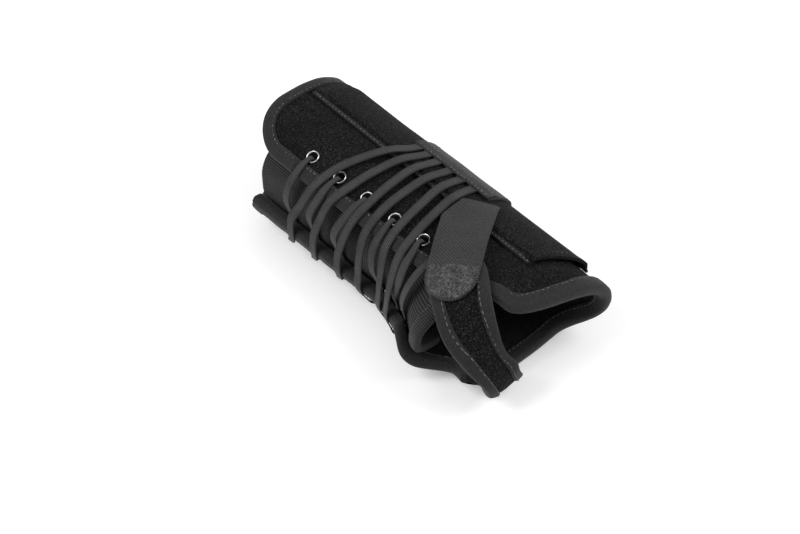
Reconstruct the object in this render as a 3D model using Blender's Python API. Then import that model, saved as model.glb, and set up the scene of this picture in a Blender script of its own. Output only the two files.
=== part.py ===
"""Lace-up wrist splint for a left hand, lying palm side down.

+X runs towards the fingers, +Z is the back of the hand and -Y is the thumb side. The origin is the middle of
the flat underside of the palmar stay pocket. Every length below is in millimetres.

The soft pieces are flat patterns wrapped round one arm-shaped form. A pattern point has x along the arm,
s round the arm (0 on the dorsal ridge, positive towards the thumb) and h, the height above the form.
"""

import functools
import math

import bmesh
import bpy
import numpy as np

MM = 0.001
GAP = 0.3

# The form: the hollow for the arm, at stations along it
FORM_X = (0.0, 20.0, 50.0, 100.0, 125.0, 145.0, 165.0, 195.0)
FORM_TOP = (62.0, 60.9, 59.25, 56.5, 55.1, 54.0, 52.9, 46.5)
FORM_BOTTOM = (9.0, 6.3, 6.2, 6.2, 6.2, 6.2, 6.8, 10.0)
FORM_THUMB_SIDE = (37.0, 36.6, 36.0, 35.0, 41.0, 52.0, 42.0, 32.0)
FORM_ULNAR_SIDE = (36.5, 36.3, 36.0, 36.0, 36.0, 36.0, 36.2, 37.0)
TOP_ROUNDNESS = 2.2
PALM_FLATNESS = 2.8
FORM_SAMPLES = 721

# Laminate panels
PANEL = 3.0
DORSAL_SEAM_S = -45.0
PALMAR_SEAM_S = -78.0
FLAP_RADIUS = 24.0
EYELET_EDGE_S = 29.5
EYELET_EDGE_TAPER = 3.0
EYELET_EDGE_END_X = 132.0
WEB_EDGE_S = 15.0
WEB_EDGE_X = 172.0
KNUCKLE_CROWN = 16.5
PALM_END_X = 172.0
LACE_EDGE_S = 59.0
LACE_EDGE_END_X = 130.0
THENAR_DEPTH = 24.0
THENAR_END_S = 66.0
PALM_CORNER = 14.0
PALM_CORNER_REACH = 34.0
PALM_CORNER_FADE_X = 60.0

# Binding tape folded over the panels' edges
TAPE = 1.2
TAPE_WIDTH = 5.5
TAPE_EDGE = 1.0
CURVE_GAP = 0.55
FLAP_TAPE_END_X = 36.0
WEB_TAPE_START_X = 167.5

# Tongue under the laced slit
TONGUE = 1.8
TONGUE_START_X = 14.0
TONGUE_HEM_X = 152.0
TONGUE_HEM_SLANT = 0.13
TONGUE_DORSAL_S = 10.0
TONGUE_PALMAR_S = 68.0
TONGUE_THUMB_FLARE = 28.0
TONGUE_FLARE_X = 112.0
TONGUE_HIGH = -2.1
TONGUE_LOW = -4.1

# Eyelets
EYELET_COUNT = 6
LAST_EYELET_X = 131.0
EYELET_PITCH = 19.5
LAST_EYELET_PITCH = 13.0
EYELET_INSET = 10.0
EYELET_FLANGE = 3.6
EYELET_BARREL = 2.7
EYELET_BORE = 2.2
EYELET_RIM = 0.8
EYELET_FOOT = 0.5
EYELET_SEAT = 0.3
PALMAR_EYELET_SEAT = 0.75
EYELET_SIDES = 14
PALMAR_EYELET_S = 70.0

# Laces: where each run crosses the stations of s, and where it turns on the palmar edge
LACE_WIDTH = 4.6
LACE = 1.1
LACE_IN_EYELET = 2.8
LACE_STATIONS = (-8.0, 6.0, 18.0, 29.0, 40.0, 50.0)
LACE_RUNS = (
    (72.5, 67.0, 60.0, 55.5, 52.5, 49.5, 45.5),
    (79.0, 75.5, 71.5, 69.0, 65.5, 63.5, 62.0),
    (86.0, 84.0, 83.0, 83.0, 82.0, 80.5, 79.5),
    (94.5, 93.0, 91.5, 91.0, 91.5, 93.0, 94.5),
    (102.5, 102.0, 103.0, 104.0, 105.5, 109.0, 111.0),
    (111.0, 111.0, 112.0, 113.5, 115.0, 117.5, 119.5),
)
LACE_TURNS = (41.0, 58.0, 76.0, 98.5, 114.3, 123.5)
LACE_RETURNS = (
    (37.5, 38.5, 39.5),
    (54.5, 56.0, 58.5),
    (72.5, 74.0, 77.0),
    (102.0, 101.0, 99.5),
    (118.5, 122.5, 121.0),
    (127.5, 129.0, 130.0),
)

# Stays and their pockets
DORSAL_POCKET_S = -23.0
DORSAL_POCKET_HALF = 15.0
DORSAL_POCKET_ROOF = 12.3
DORSAL_POCKET_SEAM = 1.0
DORSAL_POCKET_START_X = 7.5
DORSAL_POCKET_END_X = 164.0
DORSAL_POCKET_SLANT = 12.0
POCKET_WALL = 1.2
STAY = 1.2
STAY_CLEARANCE = 0.7
DORSAL_STAY_S = -19.0
DORSAL_STAY_HALF = 7.5
DORSAL_STAY_FALL = 0.048
DORSAL_STAY_START_X = 11.0
DORSAL_STAY_END_X = 150.0
STAY_FORM_X = 86.0
PALMAR_POCKET_HALF = 20.0
PALMAR_POCKET_FLAT = 15.5
PALMAR_POCKET_START_X = 17.0
PALMAR_POCKET_END_X = 157.0
PALMAR_STAY_HALF = 10.5
PALMAR_STAY_START_X = 19.0
PALMAR_STAY_END_X = 153.0

# Lace tab on the dorsal-ulnar ridge and the closure strap that carries on from it
TAB = 1.3
TAB_START_X = 69.0
TAB_END_X = 121.0
TAB_EDGE_S = -21.8
CLOSURE_FOLD_S = -46.0
CLOSURE_END_S = -72.0
CLOSURE_INSET = 3.0
CLOSURE_CORNER = 8.0
HOOK = 1.0
CLOSURE_HOOK_LENGTH = 15.0

# Thumb strap, its binding and the hook tab that closes it
STRAP = 2.2
STRAP_ROUTE = (
    (137.0, 15.8, 5.9),
    (144.0, 20.3, 5.9),
    (152.0, 25.4, 6.0),
    (162.0, 31.3, 6.0),
    (171.5, 36.0, 2.6),
    (178.0, 39.5, -0.6),
    (183.5, 46.5, -3.1),
    (185.5, 56.8, -2.7),
    (183.2, 66.5, 0.8),
    (179.0, 73.5, 1.8),
    (175.5, 76.5, 1.6),
    (172.9, 76.5, 1.5),
)
STRAP_SIDES = (
    (0.54, -0.84, 0.0),
    (0.54, -0.84, 0.0),
    (0.54, -0.84, 0.0),
    (0.54, -0.84, 0.0),
    (0.45, -0.74, -0.45),
    (0.25, -0.5, -0.83),
    (0.1, 0.0, -1.0),
    (0.0, 0.6, -0.8),
    (0.0, 0.9, -0.44),
    (0.0, 0.97, -0.25),
    (0.0, 1.0, -0.1),
    (0.0, 1.0, 0.0),
)
STRAP_HALF_TOP = 14.0
STRAP_HALF_PALM = 10.0
STRAP_NARROWS_AT = 50.0
STRAP_CORNER = 13.0
STRAP_TAPE_WIDTH = 4.5
HOOK_TAB = 1.2
HOOK_TAB_ROOT = (118.5, -14.0)
HOOK_TAB_HEADING = 53.6
HOOK_TAB_LENGTH = 60.0
HOOK_TAB_HALF = 12.0
HOOK_TAB_ROOT_LEFT = 5.0
HOOK_TAB_SHOULDER = 12.0
HOOK_PATCH_HALF = 4.4
HOOK_PATCH_START = 43.4
HOOK_PATCH_LENGTH = 8.8
HOOK_PATCH_INSET = 1.8

ORIGIN_X = 0.5 * (PALMAR_POCKET_START_X + PALMAR_POCKET_END_X)


# The form and the maps from pattern to space


def along_form(x, values):
    """The form's value at x: a cubic through the stations that never swings past them."""
    stations = np.array(FORM_X)
    values = np.array(values)
    rise = np.diff(values) / np.diff(stations)
    slope = np.zeros(len(values))
    slope[0], slope[-1] = rise[0], rise[-1]
    for i in range(1, len(rise)):
        if rise[i - 1] * rise[i] > 0:
            slope[i] = 2 * rise[i - 1] * rise[i] / (rise[i - 1] + rise[i])
    x = min(max(x, stations[0]), stations[-1])
    i = min(int(np.searchsorted(stations, x, side="right")) - 1, len(rise) - 1)
    span = stations[i + 1] - stations[i]
    t = (x - stations[i]) / span
    start = values[i] * (1 + 2 * t) * (1 - t) ** 2 + slope[i] * span * t * (1 - t) ** 2
    return start + values[i + 1] * t * t * (3 - 2 * t) + slope[i + 1] * span * t * t * (t - 1)


@functools.lru_cache(maxsize=None)
def form_section(x):
    """The form's outline at x as y, z and the distance s along it, and the length all round."""
    angle = np.linspace(-math.pi, math.pi, FORM_SAMPLES)
    top, bottom = along_form(x, FORM_TOP), along_form(x, FORM_BOTTOM)
    side = np.where(angle > 0, along_form(x, FORM_THUMB_SIDE), along_form(x, FORM_ULNAR_SIDE))
    power = np.where(np.cos(angle) > 0, 2 / TOP_ROUNDNESS, 2 / PALM_FLATNESS)
    y = -side * np.sign(np.sin(angle)) * np.abs(np.sin(angle)) ** power
    z = 0.5 * (top + bottom) + 0.5 * (top - bottom) * np.sign(np.cos(angle)) * np.abs(np.cos(angle)) ** power
    run = np.concatenate([[0.0], np.cumsum(np.hypot(np.diff(y), np.diff(z)))])
    return y, z, run - np.interp(0.0, angle, run), run[-1]


def girth(x):
    """The length round the form at x."""
    return form_section(round(x, 4))[3]


def place(x, s, h):
    """The point in space of a pattern point."""
    y, z, run, around = form_section(round(x, 4))
    ends = np.array([s, s - 0.5, s + 0.5])
    ys = np.interp(ends, run, y, period=around)
    zs = np.interp(ends, run, z, period=around)
    across, up = ys[2] - ys[1], zs[2] - zs[1]
    size = math.hypot(across, up)
    return np.array([x - ORIGIN_X, ys[0] + h * up / size, zs[0] - h * across / size])


def smooth_curve(points, step):
    """Samples about a step apart on a curve through the points. Columns past the third are carried along."""
    points = np.array(points, float)
    chord = np.linalg.norm(np.diff(points[:, :3], axis=0), axis=1)
    at = np.concatenate([[0.0], np.cumsum(chord)])
    slope = np.gradient(points, at, axis=0)
    samples = []
    for i, length in enumerate(chord):
        count = max(1, round(length / step))
        for k in range(count + (i == len(chord) - 1)):
            t = k / count
            start = points[i] * (1 + 2 * t) * (1 - t) ** 2 + slope[i] * length * t * (1 - t) ** 2
            end = points[i + 1] * t * t * (3 - 2 * t) + slope[i + 1] * length * t * t * (t - 1)
            samples.append(start + end)
    return np.array(samples)


def unit(vectors):
    return vectors / np.linalg.norm(vectors, axis=-1, keepdims=True)


class Band:
    """A band along a route over the form: a map from t along it, w across it and n through it to space."""

    def __init__(self, route, sides=None, step=0.5):
        samples = smooth_curve(route if sides is None else np.hstack([route, sides]), step)
        self.route = samples[:, :3]
        heading = unit(np.gradient(self.route, axis=0))
        self.sides = unit(self.flat_sides(heading) if sides is None else samples[:, 3:])
        self.normals = unit(np.cross(heading, self.sides))
        self.normals *= math.copysign(1.0, self.normals[0, 2])
        self.t = np.concatenate([[0.0], np.cumsum(np.linalg.norm(np.diff(self.route, axis=0), axis=1))])
        self.length = self.t[-1]

    @staticmethod
    def flat_sides(heading):
        """Sides that lie in the pattern and never flip over, also where the band dives through a hole."""
        flattest = 0.35
        sides = []
        for x, s, _ in heading:
            side = np.array([s, -x, 0.0])
            if sides and np.linalg.norm(side) < flattest:
                side = sides[-1]
            if sides and side @ sides[-1] < 0:
                side = -side
            sides.append(unit(side))
        return np.array(sides)

    def pattern_point(self, t, w, n):
        def read(table):
            return np.array([np.interp(t, self.t, column) for column in table.T])

        return read(self.route) + w * read(self.sides) + n * read(self.normals)

    def __call__(self, t, w, n):
        return place(*self.pattern_point(t, w, n))


# Solids


def material(name, colour, roughness, metallic=0.0):
    made = bpy.data.materials.new(name)
    made.use_nodes = True
    shader = made.node_tree.nodes["Principled BSDF"]
    shader.inputs["Base Color"].default_value = (*colour, 1.0)
    shader.inputs["Roughness"].default_value = roughness
    shader.inputs["Metallic"].default_value = metallic
    return made


FINISHES = {
    "pile": ((0.012, 0.012, 0.013), 0.95, 0.0),
    "tape": ((0.035, 0.036, 0.036), 0.85, 0.0),
    "knit": ((0.022, 0.022, 0.023), 0.9, 0.0),
    "webbing": ((0.045, 0.045, 0.045), 0.8, 0.0),
    "lace": ((0.055, 0.055, 0.056), 0.75, 0.0),
    "hook": ((0.03, 0.03, 0.03), 0.6, 0.0),
    "eyelet_metal": ((0.75, 0.75, 0.76), 0.25, 1.0),
    "stay_metal": ((0.6, 0.61, 0.62), 0.4, 1.0),
}


def solid(name, points, faces, finish, origin=(0.0, 0.0, 0.0)):
    """An object from points in millimetres, with its faces turned outward and its origin at a given point."""
    mesh = bpy.data.meshes.new(name)
    origin = np.array(origin)
    mesh.from_pydata([tuple((np.array(p) - origin) * MM) for p in points], [], faces)
    shaper = bmesh.new()
    shaper.from_mesh(mesh)
    bmesh.ops.recalc_face_normals(shaper, faces=shaper.faces)
    shaper.to_mesh(mesh)
    shaper.free()
    mesh.materials.append(material(name, *FINISHES[finish]))
    made = bpy.data.objects.new(name, mesh)
    made.location = origin * MM
    bpy.context.scene.collection.objects.link(made)
    return made


def loft(name, sections, finish, origin=(0.0, 0.0, 0.0)):
    """A closed solid through sections, which are rings of points in space, all with the same count."""
    count = len(sections[0])
    points = [p for ring in sections for p in ring]
    faces = [tuple(range(count)), tuple(range(len(points) - count, len(points)))]
    for i in range(len(sections) - 1):
        for k in range(count):
            a, b = i * count + k, i * count + (k + 1) % count
            faces.append((a, b, b + count, a + count))
    return solid(name, points, faces, finish, origin)


def sheet(name, surface, rows, low, high, finish, origin=(0.0, 0.0, 0.0)):
    """A closed layer between two heights, which are functions of the place, over a grid of pattern points."""
    sections = []
    for row in rows:
        under = [surface(u, v, low(u, v)) for u, v in row]
        over = [surface(u, v, high(u, v)) for u, v in row]
        sections.append(under + over[::-1])
    count = len(rows[0])
    points = [p for ring in sections for p in ring]
    ring = 2 * count
    faces = []
    for end in (0, (len(rows) - 1) * ring):
        for k in range(count - 1):
            faces.append((end + k, end + k + 1, end + ring - 2 - k, end + ring - 1 - k))
    for i in range(len(rows) - 1):
        for k in range(ring):
            a, b = i * ring + k, i * ring + (k + 1) % ring
            faces.append((a, b, b + ring, a + ring))
    return solid(name, points, faces, finish, origin)


def level(value):
    return lambda u, v: value


def edge_tape(name, surface, outline, inside, low, high, finish, gap=GAP, width=TAPE_WIDTH, origin=(0, 0, 0)):
    """Tape folded over an edge, the outline. Inside is +1 where the piece lies on its left, else -1."""
    outline = np.array(outline, float)
    heading = unit(np.gradient(outline, axis=0))
    inward = inside * np.stack([-heading[:, 1], heading[:, 0]], 1)
    under, over = low - gap, high + gap
    middle = 0.5 * (width - gap)
    edge = -gap - TAPE_EDGE
    fold = (
        (width, over + TAPE),
        (middle, over + TAPE),
        (-gap, over + TAPE),
        (edge, 0.75 * over + 0.25 * under),
        (edge, 0.25 * over + 0.75 * under),
        (-gap, under - TAPE),
        (middle, under - TAPE),
        (width, under - TAPE),
        (width, under),
        (middle, under),
        (-gap, under),
        (-gap, over),
        (middle, over),
        (width, over),
    )
    sections = []
    for point, toward in zip(outline, inward):
        sections.append([surface(*(point + w * toward), n) for w, n in fold])
    return loft(name, sections, finish, origin)


def spread(start, end, count):
    return np.linspace(start, end, count)


def steps(start, end, step):
    return spread(start, end, max(2, round(abs(end - start) / step) + 1))


# Outlines of the panels


def radial_edge(x):
    """The thumb-side edge of the dorsal panel: flap corner, eyelet edge, web edge, then the knuckle edge."""
    if x < FLAP_RADIUS:
        return EYELET_EDGE_S - FLAP_RADIUS + math.sqrt(FLAP_RADIUS**2 - (FLAP_RADIUS - x) ** 2)
    if x < EYELET_EDGE_END_X:
        return EYELET_EDGE_S - EYELET_EDGE_TAPER * (x - FLAP_RADIUS) / (EYELET_EDGE_END_X - FLAP_RADIUS)
    if x < WEB_EDGE_X:
        t = (x - EYELET_EDGE_END_X) / (WEB_EDGE_X - EYELET_EDGE_END_X)
        start = EYELET_EDGE_S - EYELET_EDGE_TAPER
        return start + (WEB_EDGE_S - start) * 0.5 * (1 - math.cos(math.pi * t))
    t = min(1.0, (x - WEB_EDGE_X) / KNUCKLE_CROWN)
    return DORSAL_SEAM_S + (WEB_EDGE_S - DORSAL_SEAM_S) * math.sqrt(1 - t * t)


def lace_edge(x):
    """The thumb-side edge of the palmar panel: the lace edge, then the hollow round the thumb's ball."""
    if x < LACE_EDGE_END_X:
        return LACE_EDGE_S
    t = (x - LACE_EDGE_END_X) / (PALM_END_X - LACE_EDGE_END_X)
    return LACE_EDGE_S + (THENAR_END_S - LACE_EDGE_S) * t + THENAR_DEPTH * math.sin(math.pi * t) ** 1.5


def palm_start(s):
    """The proximal edge of the palmar panel, which slants back to its corner at the lace edge."""
    t = min(1.0, max(0.0, (s - LACE_EDGE_S) / PALM_CORNER_REACH))
    return PALM_CORNER * 0.5 * (1 + math.cos(math.pi * t))


def ulnar_end(s):
    """The distal edge of the ulnar panel, from the knuckle edge back to the palm's end."""
    t = (s - DORSAL_SEAM_S) / (PALMAR_SEAM_S - DORSAL_SEAM_S)
    knuckles = WEB_EDGE_X + KNUCKLE_CROWN
    return knuckles + (PALM_END_X - knuckles) * 0.5 * (1 - math.cos(math.pi * t))


def knuckle_stations():
    turns = (0, 12, 24, 36, 47, 57, 66, 74, 81, 87)
    return [WEB_EDGE_X + KNUCKLE_CROWN * math.sin(math.radians(a)) for a in turns]


def dorsal_stations():
    corner = [FLAP_RADIUS * (1 - math.cos(math.radians(a))) for a in (0, 15, 30, 45, 60, 75, 90)]
    edge = list(steps(FLAP_RADIUS, FLAP_TAPE_END_X, 6.0)[1:])
    middle = list(steps(FLAP_TAPE_END_X, EYELET_EDGE_END_X, 10.0)[1:])
    web = list(steps(EYELET_EDGE_END_X, WEB_EDGE_X, 7.0)[1:-1])
    return corner + edge + middle + web + knuckle_stations()


def palmar_stations():
    return list(steps(0.0, 100.0, 10.0)) + list(steps(100.0, PALM_END_X, 3.6)[1:])


# Heights of what lies on the dorsal panel

POCKET_INNER = PANEL + 2 * STAY_CLEARANCE + STAY
POCKET_OUTER = POCKET_INNER + POCKET_WALL
POCKET_ROOF_HALF = DORSAL_POCKET_ROOF
POCKET_SEAM_HALF = DORSAL_POCKET_HALF - DORSAL_POCKET_SEAM
TAPE_TOP = PANEL + GAP + TAPE
LACE_LOW = TAPE_TOP + GAP + 0.5 * LACE + 0.1
LACE_HIGH = POCKET_OUTER + GAP + 0.5 * LACE + 0.15
CLOSURE_LOW = PANEL + GAP + HOOK + GAP
STRAP_LOW = PANEL + GAP + TAPE + GAP
STRAP_TOP = STRAP_LOW + STRAP
STRAP_TAPE_TOP = STRAP_TOP + GAP + TAPE


def pocket_inner(u, v):
    off = abs(v - DORSAL_POCKET_S)
    return float(np.interp(off, (POCKET_ROOF_HALF, POCKET_SEAM_HALF), (POCKET_INNER, PANEL + GAP)))


def pocket_outer(u, v):
    return pocket_inner(u, v) + POCKET_WALL


def over_pocket(s, ground):
    """The height of the pocket's back at s, or of the ground beside it."""
    off = abs(s - DORSAL_POCKET_S)
    return float(np.interp(off, (POCKET_ROOF_HALF + 1.5, DORSAL_POCKET_HALF + 3.0), (POCKET_OUTER, ground)))


# The pieces


def make_panels():
    rows = [[(x, s) for s in spread(DORSAL_SEAM_S, radial_edge(x), 16)] for x in dorsal_stations()]
    dorsal = sheet("dorsal_panel", place, rows, level(0.0), level(PANEL), "pile")
    punch(dorsal, [eyelet_place(i) for i in range(EYELET_COUNT)])

    across = spread(DORSAL_SEAM_S - GAP, PALMAR_SEAM_S, 8)
    rows = [[(u * ulnar_end(s), s) for s in across] for u in spread(0.0, 1.0, 20)]
    sheet("ulnar_panel", place, rows, level(0.0), level(PANEL), "pile")

    rows = []
    for x in palmar_stations():
        near, far = lace_edge(x), girth(x) + PALMAR_SEAM_S - GAP
        across = (near, near + 0.5 * TAPE_WIDTH, *spread(near + TAPE_WIDTH, far, 15))
        fade = max(0.0, 1 - x / PALM_CORNER_FADE_X)
        rows.append([(x + fade * palm_start(s), s) for s in across])
    palmar = sheet("palmar_panel", place, rows, level(0.0), level(PANEL), "pile")
    punch(palmar, [(x, PALMAR_EYELET_S) for x in LACE_TURNS])


def make_bindings():
    palm = []
    for s in steps(LACE_EDGE_S + TAPE_WIDTH + GAP, girth(0.0) + PALMAR_SEAM_S, 5.0):
        palm.append((palm_start(s), s - girth(palm_start(s))))
    ulnar = [(0.0, s) for s in steps(PALMAR_SEAM_S, DORSAL_SEAM_S, 5.0)[1:]]
    back = [(0.0, s) for s in steps(DORSAL_SEAM_S, radial_edge(0.0), 5.0)[1:]]
    corner = [(x, radial_edge(x)) for x in dorsal_stations()[1:] if x <= FLAP_TAPE_END_X]
    edge_tape("proximal_binding", place, palm + ulnar + back + corner, -1, 0.0, PANEL, "tape")

    middle = [x for x in dorsal_stations() if FLAP_TAPE_END_X < x <= EYELET_EDGE_END_X]
    eyelet_edge = [(x, radial_edge(x)) for x in [FLAP_TAPE_END_X + GAP] + middle]
    edge_tape("eyelet_edge_binding", place, eyelet_edge, -1, 0.0, PANEL, "tape")

    web = [(x, radial_edge(x)) for x in steps(WEB_TAPE_START_X, WEB_EDGE_X, 3.5)[:-1]]
    knuckles = [(x, radial_edge(x)) for x in knuckle_stations()]
    ulnar = [(ulnar_end(s), s) for s in steps(DORSAL_SEAM_S, PALMAR_SEAM_S, 5.0)]
    strap_end = STRAP_ROUTE[-1][1] + STRAP_HALF_PALM + 4 * TAPE
    palm = [(PALM_END_X, s) for s in steps(PALMAR_SEAM_S, strap_end - girth(PALM_END_X), 5.0)[1:]]
    edge_tape("distal_binding", place, web + knuckles + ulnar + palm, -1, 0.0, PANEL, "tape", CURVE_GAP)

    start, end = PALM_CORNER + TAPE + GAP, PALM_END_X - 3 * TAPE
    stations = [start] + [x for x in palmar_stations() if start + TAPE < x < end - TAPE] + [end]
    edge = [(x, lace_edge(x)) for x in stations]
    edge_tape("palmar_edge_binding", place, edge, 1, 0.0, PANEL, "tape", CURVE_GAP)


def tongue_edge(x):
    """How far the tongue reaches round the palm side: further where it wraps the thumb's base."""
    t = min(1.0, max(0.0, (x - TONGUE_FLARE_X) / (TONGUE_HEM_X - TONGUE_FLARE_X)))
    return TONGUE_PALMAR_S + TONGUE_THUMB_FLARE * t * t * (3 - 2 * t)


def tongue_hem(s):
    return TONGUE_HEM_X - TONGUE_HEM_SLANT * (s - TONGUE_DORSAL_S)


def tongue_top(u, v):
    return float(np.interp(v, (EYELET_EDGE_S + 3.0, LACE_EDGE_S - 9.0), (TONGUE_HIGH, TONGUE_LOW)))


def tongue_bottom(u, v):
    return tongue_top(u, v) - TONGUE


def make_tongue():
    stations = list(spread(0.0, 0.7, 9)) + list(spread(0.7, 1.0, 8)[1:])
    rows = []
    for u in stations:
        x = TONGUE_START_X + u * (TONGUE_HEM_X - TONGUE_START_X)
        row = []
        for s in spread(TONGUE_DORSAL_S, tongue_edge(x), 15):
            row.append((TONGUE_START_X + u * (tongue_hem(s) - TONGUE_START_X), s))
        rows.append(row)
    sheet("tongue", place, rows, tongue_bottom, tongue_top, "knit")
    hem = [(tongue_hem(s), s) for s in steps(EYELET_EDGE_S + 1.0, tongue_edge(TONGUE_HEM_X), 4.0)]

    def over_tongue(u, v, n):
        return place(u, v, tongue_bottom(u, v) + n)

    edge_tape("tongue_hem", over_tongue, hem, 1, 0.0, TONGUE, "knit", CURVE_GAP)


def eyelet_place(i):
    """A dorsal eyelet's pattern point. The row is set out from its distal end; the last gap is closer."""
    x = LAST_EYELET_X
    if i < EYELET_COUNT - 1:
        x -= LAST_EYELET_PITCH + (EYELET_COUNT - 2 - i) * EYELET_PITCH
    return x, radial_edge(x) - EYELET_INSET


def axes_at(x, s):
    """The outward normal and two directions square to it, at a pattern point."""
    normal = unit(place(x, s, PANEL) - place(x, s, 0.0))
    first = unit(np.cross((0.0, 1.0, 0.0), normal))
    return normal, first, np.cross(normal, first)


def ring(x, s, radius, h, sides=EYELET_SIDES):
    """A circle of points square to the surface."""
    normal, first, second = axes_at(x, s)
    centre = place(x, s, 0.0) + h * normal
    turns = [2 * math.pi * k / sides for k in range(sides)]
    return [centre + radius * (math.cos(a) * first + math.sin(a) * second) for a in turns]


def punch(panel, places):
    """Cuts a hole for each eyelet's barrel."""
    reach = PANEL
    for x, s in places:
        radius = EYELET_BARREL + GAP
        ends = [ring(x, s, radius, -reach), ring(x, s, radius, PANEL + reach)]
        cutter = loft(f"{panel.name}_punch", ends, "hook")
        cutter.hide_render = True
        cutter.display_type = "WIRE"
        cut = panel.modifiers.new("eyelet hole", "BOOLEAN")
        cut.operation = "DIFFERENCE"
        cut.object = cutter


def make_eyelet(name, x, s, seat):
    """A metal eyelet: a flange outside, a barrel through the panel and a turned foot inside."""
    top = PANEL + seat
    foot = -seat - EYELET_FOOT
    profile = (
        (EYELET_BORE, top + 0.4 * EYELET_RIM),
        (EYELET_BARREL, top + EYELET_RIM),
        (EYELET_FLANGE - 0.3, top + EYELET_RIM),
        (EYELET_FLANGE, top + 0.4 * EYELET_RIM),
        (EYELET_FLANGE, top),
        (EYELET_BARREL, top),
        (EYELET_BARREL, -seat),
        (EYELET_FLANGE - 0.3, -seat - 0.2),
        (EYELET_FLANGE - 0.3, foot - 0.2),
        (EYELET_BORE, foot),
    )
    rings = [ring(x, s, radius, h) for radius, h in profile]
    points = [p for circle in rings for p in circle]
    faces = []
    for i in range(len(rings)):
        for k in range(EYELET_SIDES):
            a, b = i * EYELET_SIDES, (i + 1) % len(rings) * EYELET_SIDES
            after = (k + 1) % EYELET_SIDES
            faces.append((a + k, a + after, b + after, b + k))
    return solid(name, points, faces, "eyelet_metal")


def make_eyelets():
    for i in range(EYELET_COUNT):
        make_eyelet(f"eyelet_{i + 1}", *eyelet_place(i), EYELET_SEAT)
    for i, x in enumerate(LACE_TURNS):
        make_eyelet(f"palmar_eyelet_{i + 1}", x, PALMAR_EYELET_S, PALMAR_EYELET_SEAT)


def lace_route(i):
    """One lace: from the tab over the slit and the palmar edge, then inside and back to its dorsal eyelet."""
    tab_x, *run = LACE_RUNS[i]
    turn_x, end = LACE_TURNS[i], eyelet_place(i)
    inner = -GAP - TAPE - GAP - 0.5 * LACE - 0.6
    slit = 0.5 * (LACE_LOW + inner) + 2.2
    heights = (LACE_HIGH - 0.2, LACE_LOW + 0.2, LACE_LOW, LACE_LOW, slit, slit + 0.9)
    wide, thin = LACE_WIDTH, LACE_IN_EYELET
    edge, hole = LACE_EDGE_S, PALMAR_EYELET_S
    points = [
        (tab_x, TAB_EDGE_S + 2 * GAP, LACE_HIGH, wide),
        (0.85 * tab_x + 0.15 * run[0], TAB_EDGE_S + 6.0, LACE_HIGH, wide),
    ]
    points += [(x, s, h, wide) for x, s, h in zip(run, LACE_STATIONS, heights)]
    points += [
        (run[-1], edge - 1.0, LACE_LOW, wide),
        (0.6 * run[-1] + 0.4 * turn_x, edge + 5.0, LACE_LOW, 0.5 * (wide + thin)),
        (turn_x, hole - 2.4, LACE_LOW + 0.3, thin),
        (turn_x, hole - 0.2, PANEL + 0.9, thin),
        (turn_x, hole, 0.5 * PANEL, thin),
        (turn_x, hole - 0.1, -0.6, thin),
        (turn_x, hole - 1.6, inner, thin),
    ]
    under, middle, rise = LACE_RETURNS[i]
    points += [
        (0.5 * (turn_x + under), edge + 5.0, inner, 0.5 * (wide + thin)),
        (under, edge - 1.5, inner, wide),
        (under, edge - 7.0, inner + 1.4, wide),
        (middle, 40.0, slit - 0.6, wide),
        (rise, EYELET_EDGE_S + 1.8, LACE_LOW - 0.3, wide),
        (0.5 * (rise + end[0]), end[1] + 7.0, LACE_LOW, 0.5 * (wide + thin)),
        (end[0], end[1] + 2.6, LACE_LOW - 0.4, thin),
        (end[0], end[1] + 0.4, PANEL + 0.5, thin),
        (end[0], end[1], 0.5 * PANEL, thin),
        (end[0], end[1], -0.4, thin),
    ]
    return points


def make_laces():
    longest, shortest = 7.0, 1.6
    for i in range(len(LACE_RUNS)):
        route = np.array(lace_route(i))
        band = Band(route[:, :3])
        knots = np.array([band.t[np.linalg.norm(band.route - p, axis=1).argmin()] for p in route[:, :3]])
        stations = []
        for a, b in zip(knots, knots[1:]):
            step = longest if b - a > longest else shortest
            stations += list(spread(a, b, max(1, round((b - a) / step)) + 1)[:-1])
        stations.append(band.length)
        rows = []
        for t in stations:
            half = 0.5 * np.interp(t, knots, route[:, 3])
            rows.append([(t, -half), (t, half)])
        sheet(f"lace_{i + 1}", band, rows, level(-0.5 * LACE), level(0.5 * LACE), "lace")


def make_dorsal_stay():
    roof = spread(-POCKET_ROOF_HALF, POCKET_ROOF_HALF, 5)
    across = (-DORSAL_POCKET_HALF, -POCKET_SEAM_HALF, *roof, POCKET_SEAM_HALF, DORSAL_POCKET_HALF)
    rows = []
    for u in spread(0.0, 1.0, 18):
        row = []
        for off in across:
            end = DORSAL_POCKET_END_X + DORSAL_POCKET_SLANT * 0.5 * (1 - off / DORSAL_POCKET_HALF)
            x = DORSAL_POCKET_START_X + u * (end - DORSAL_POCKET_START_X)
            row.append((x, DORSAL_POCKET_S + off))
        rows.append(row)
    sheet("dorsal_stay_pocket", place, rows, pocket_inner, pocket_outer, "pile")

    low = PANEL + STAY_CLEARANCE
    width = [DORSAL_STAY_S + off for off in spread(-DORSAL_STAY_HALF, DORSAL_STAY_HALF, 5)]
    profile = [place(STAY_FORM_X, s, low) for s in width]
    profile += [place(STAY_FORM_X, s, low + STAY) for s in width[::-1]]
    along = stay_heading()
    sections = []
    for x in (DORSAL_STAY_START_X, DORSAL_STAY_END_X):
        sections.append([p + along * (x - STAY_FORM_X) / along[0] for p in profile])
    origin = 0.5 * (np.mean(sections[0], axis=0) + np.mean(sections[1], axis=0))
    loft("dorsal_stay", sections, "stay_metal", origin)


def stay_heading():
    """The way the dorsal stay slides: along the straight stretch of the form's back."""
    return unit(np.array([1.0, 0.0, -DORSAL_STAY_FALL]))


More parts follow.
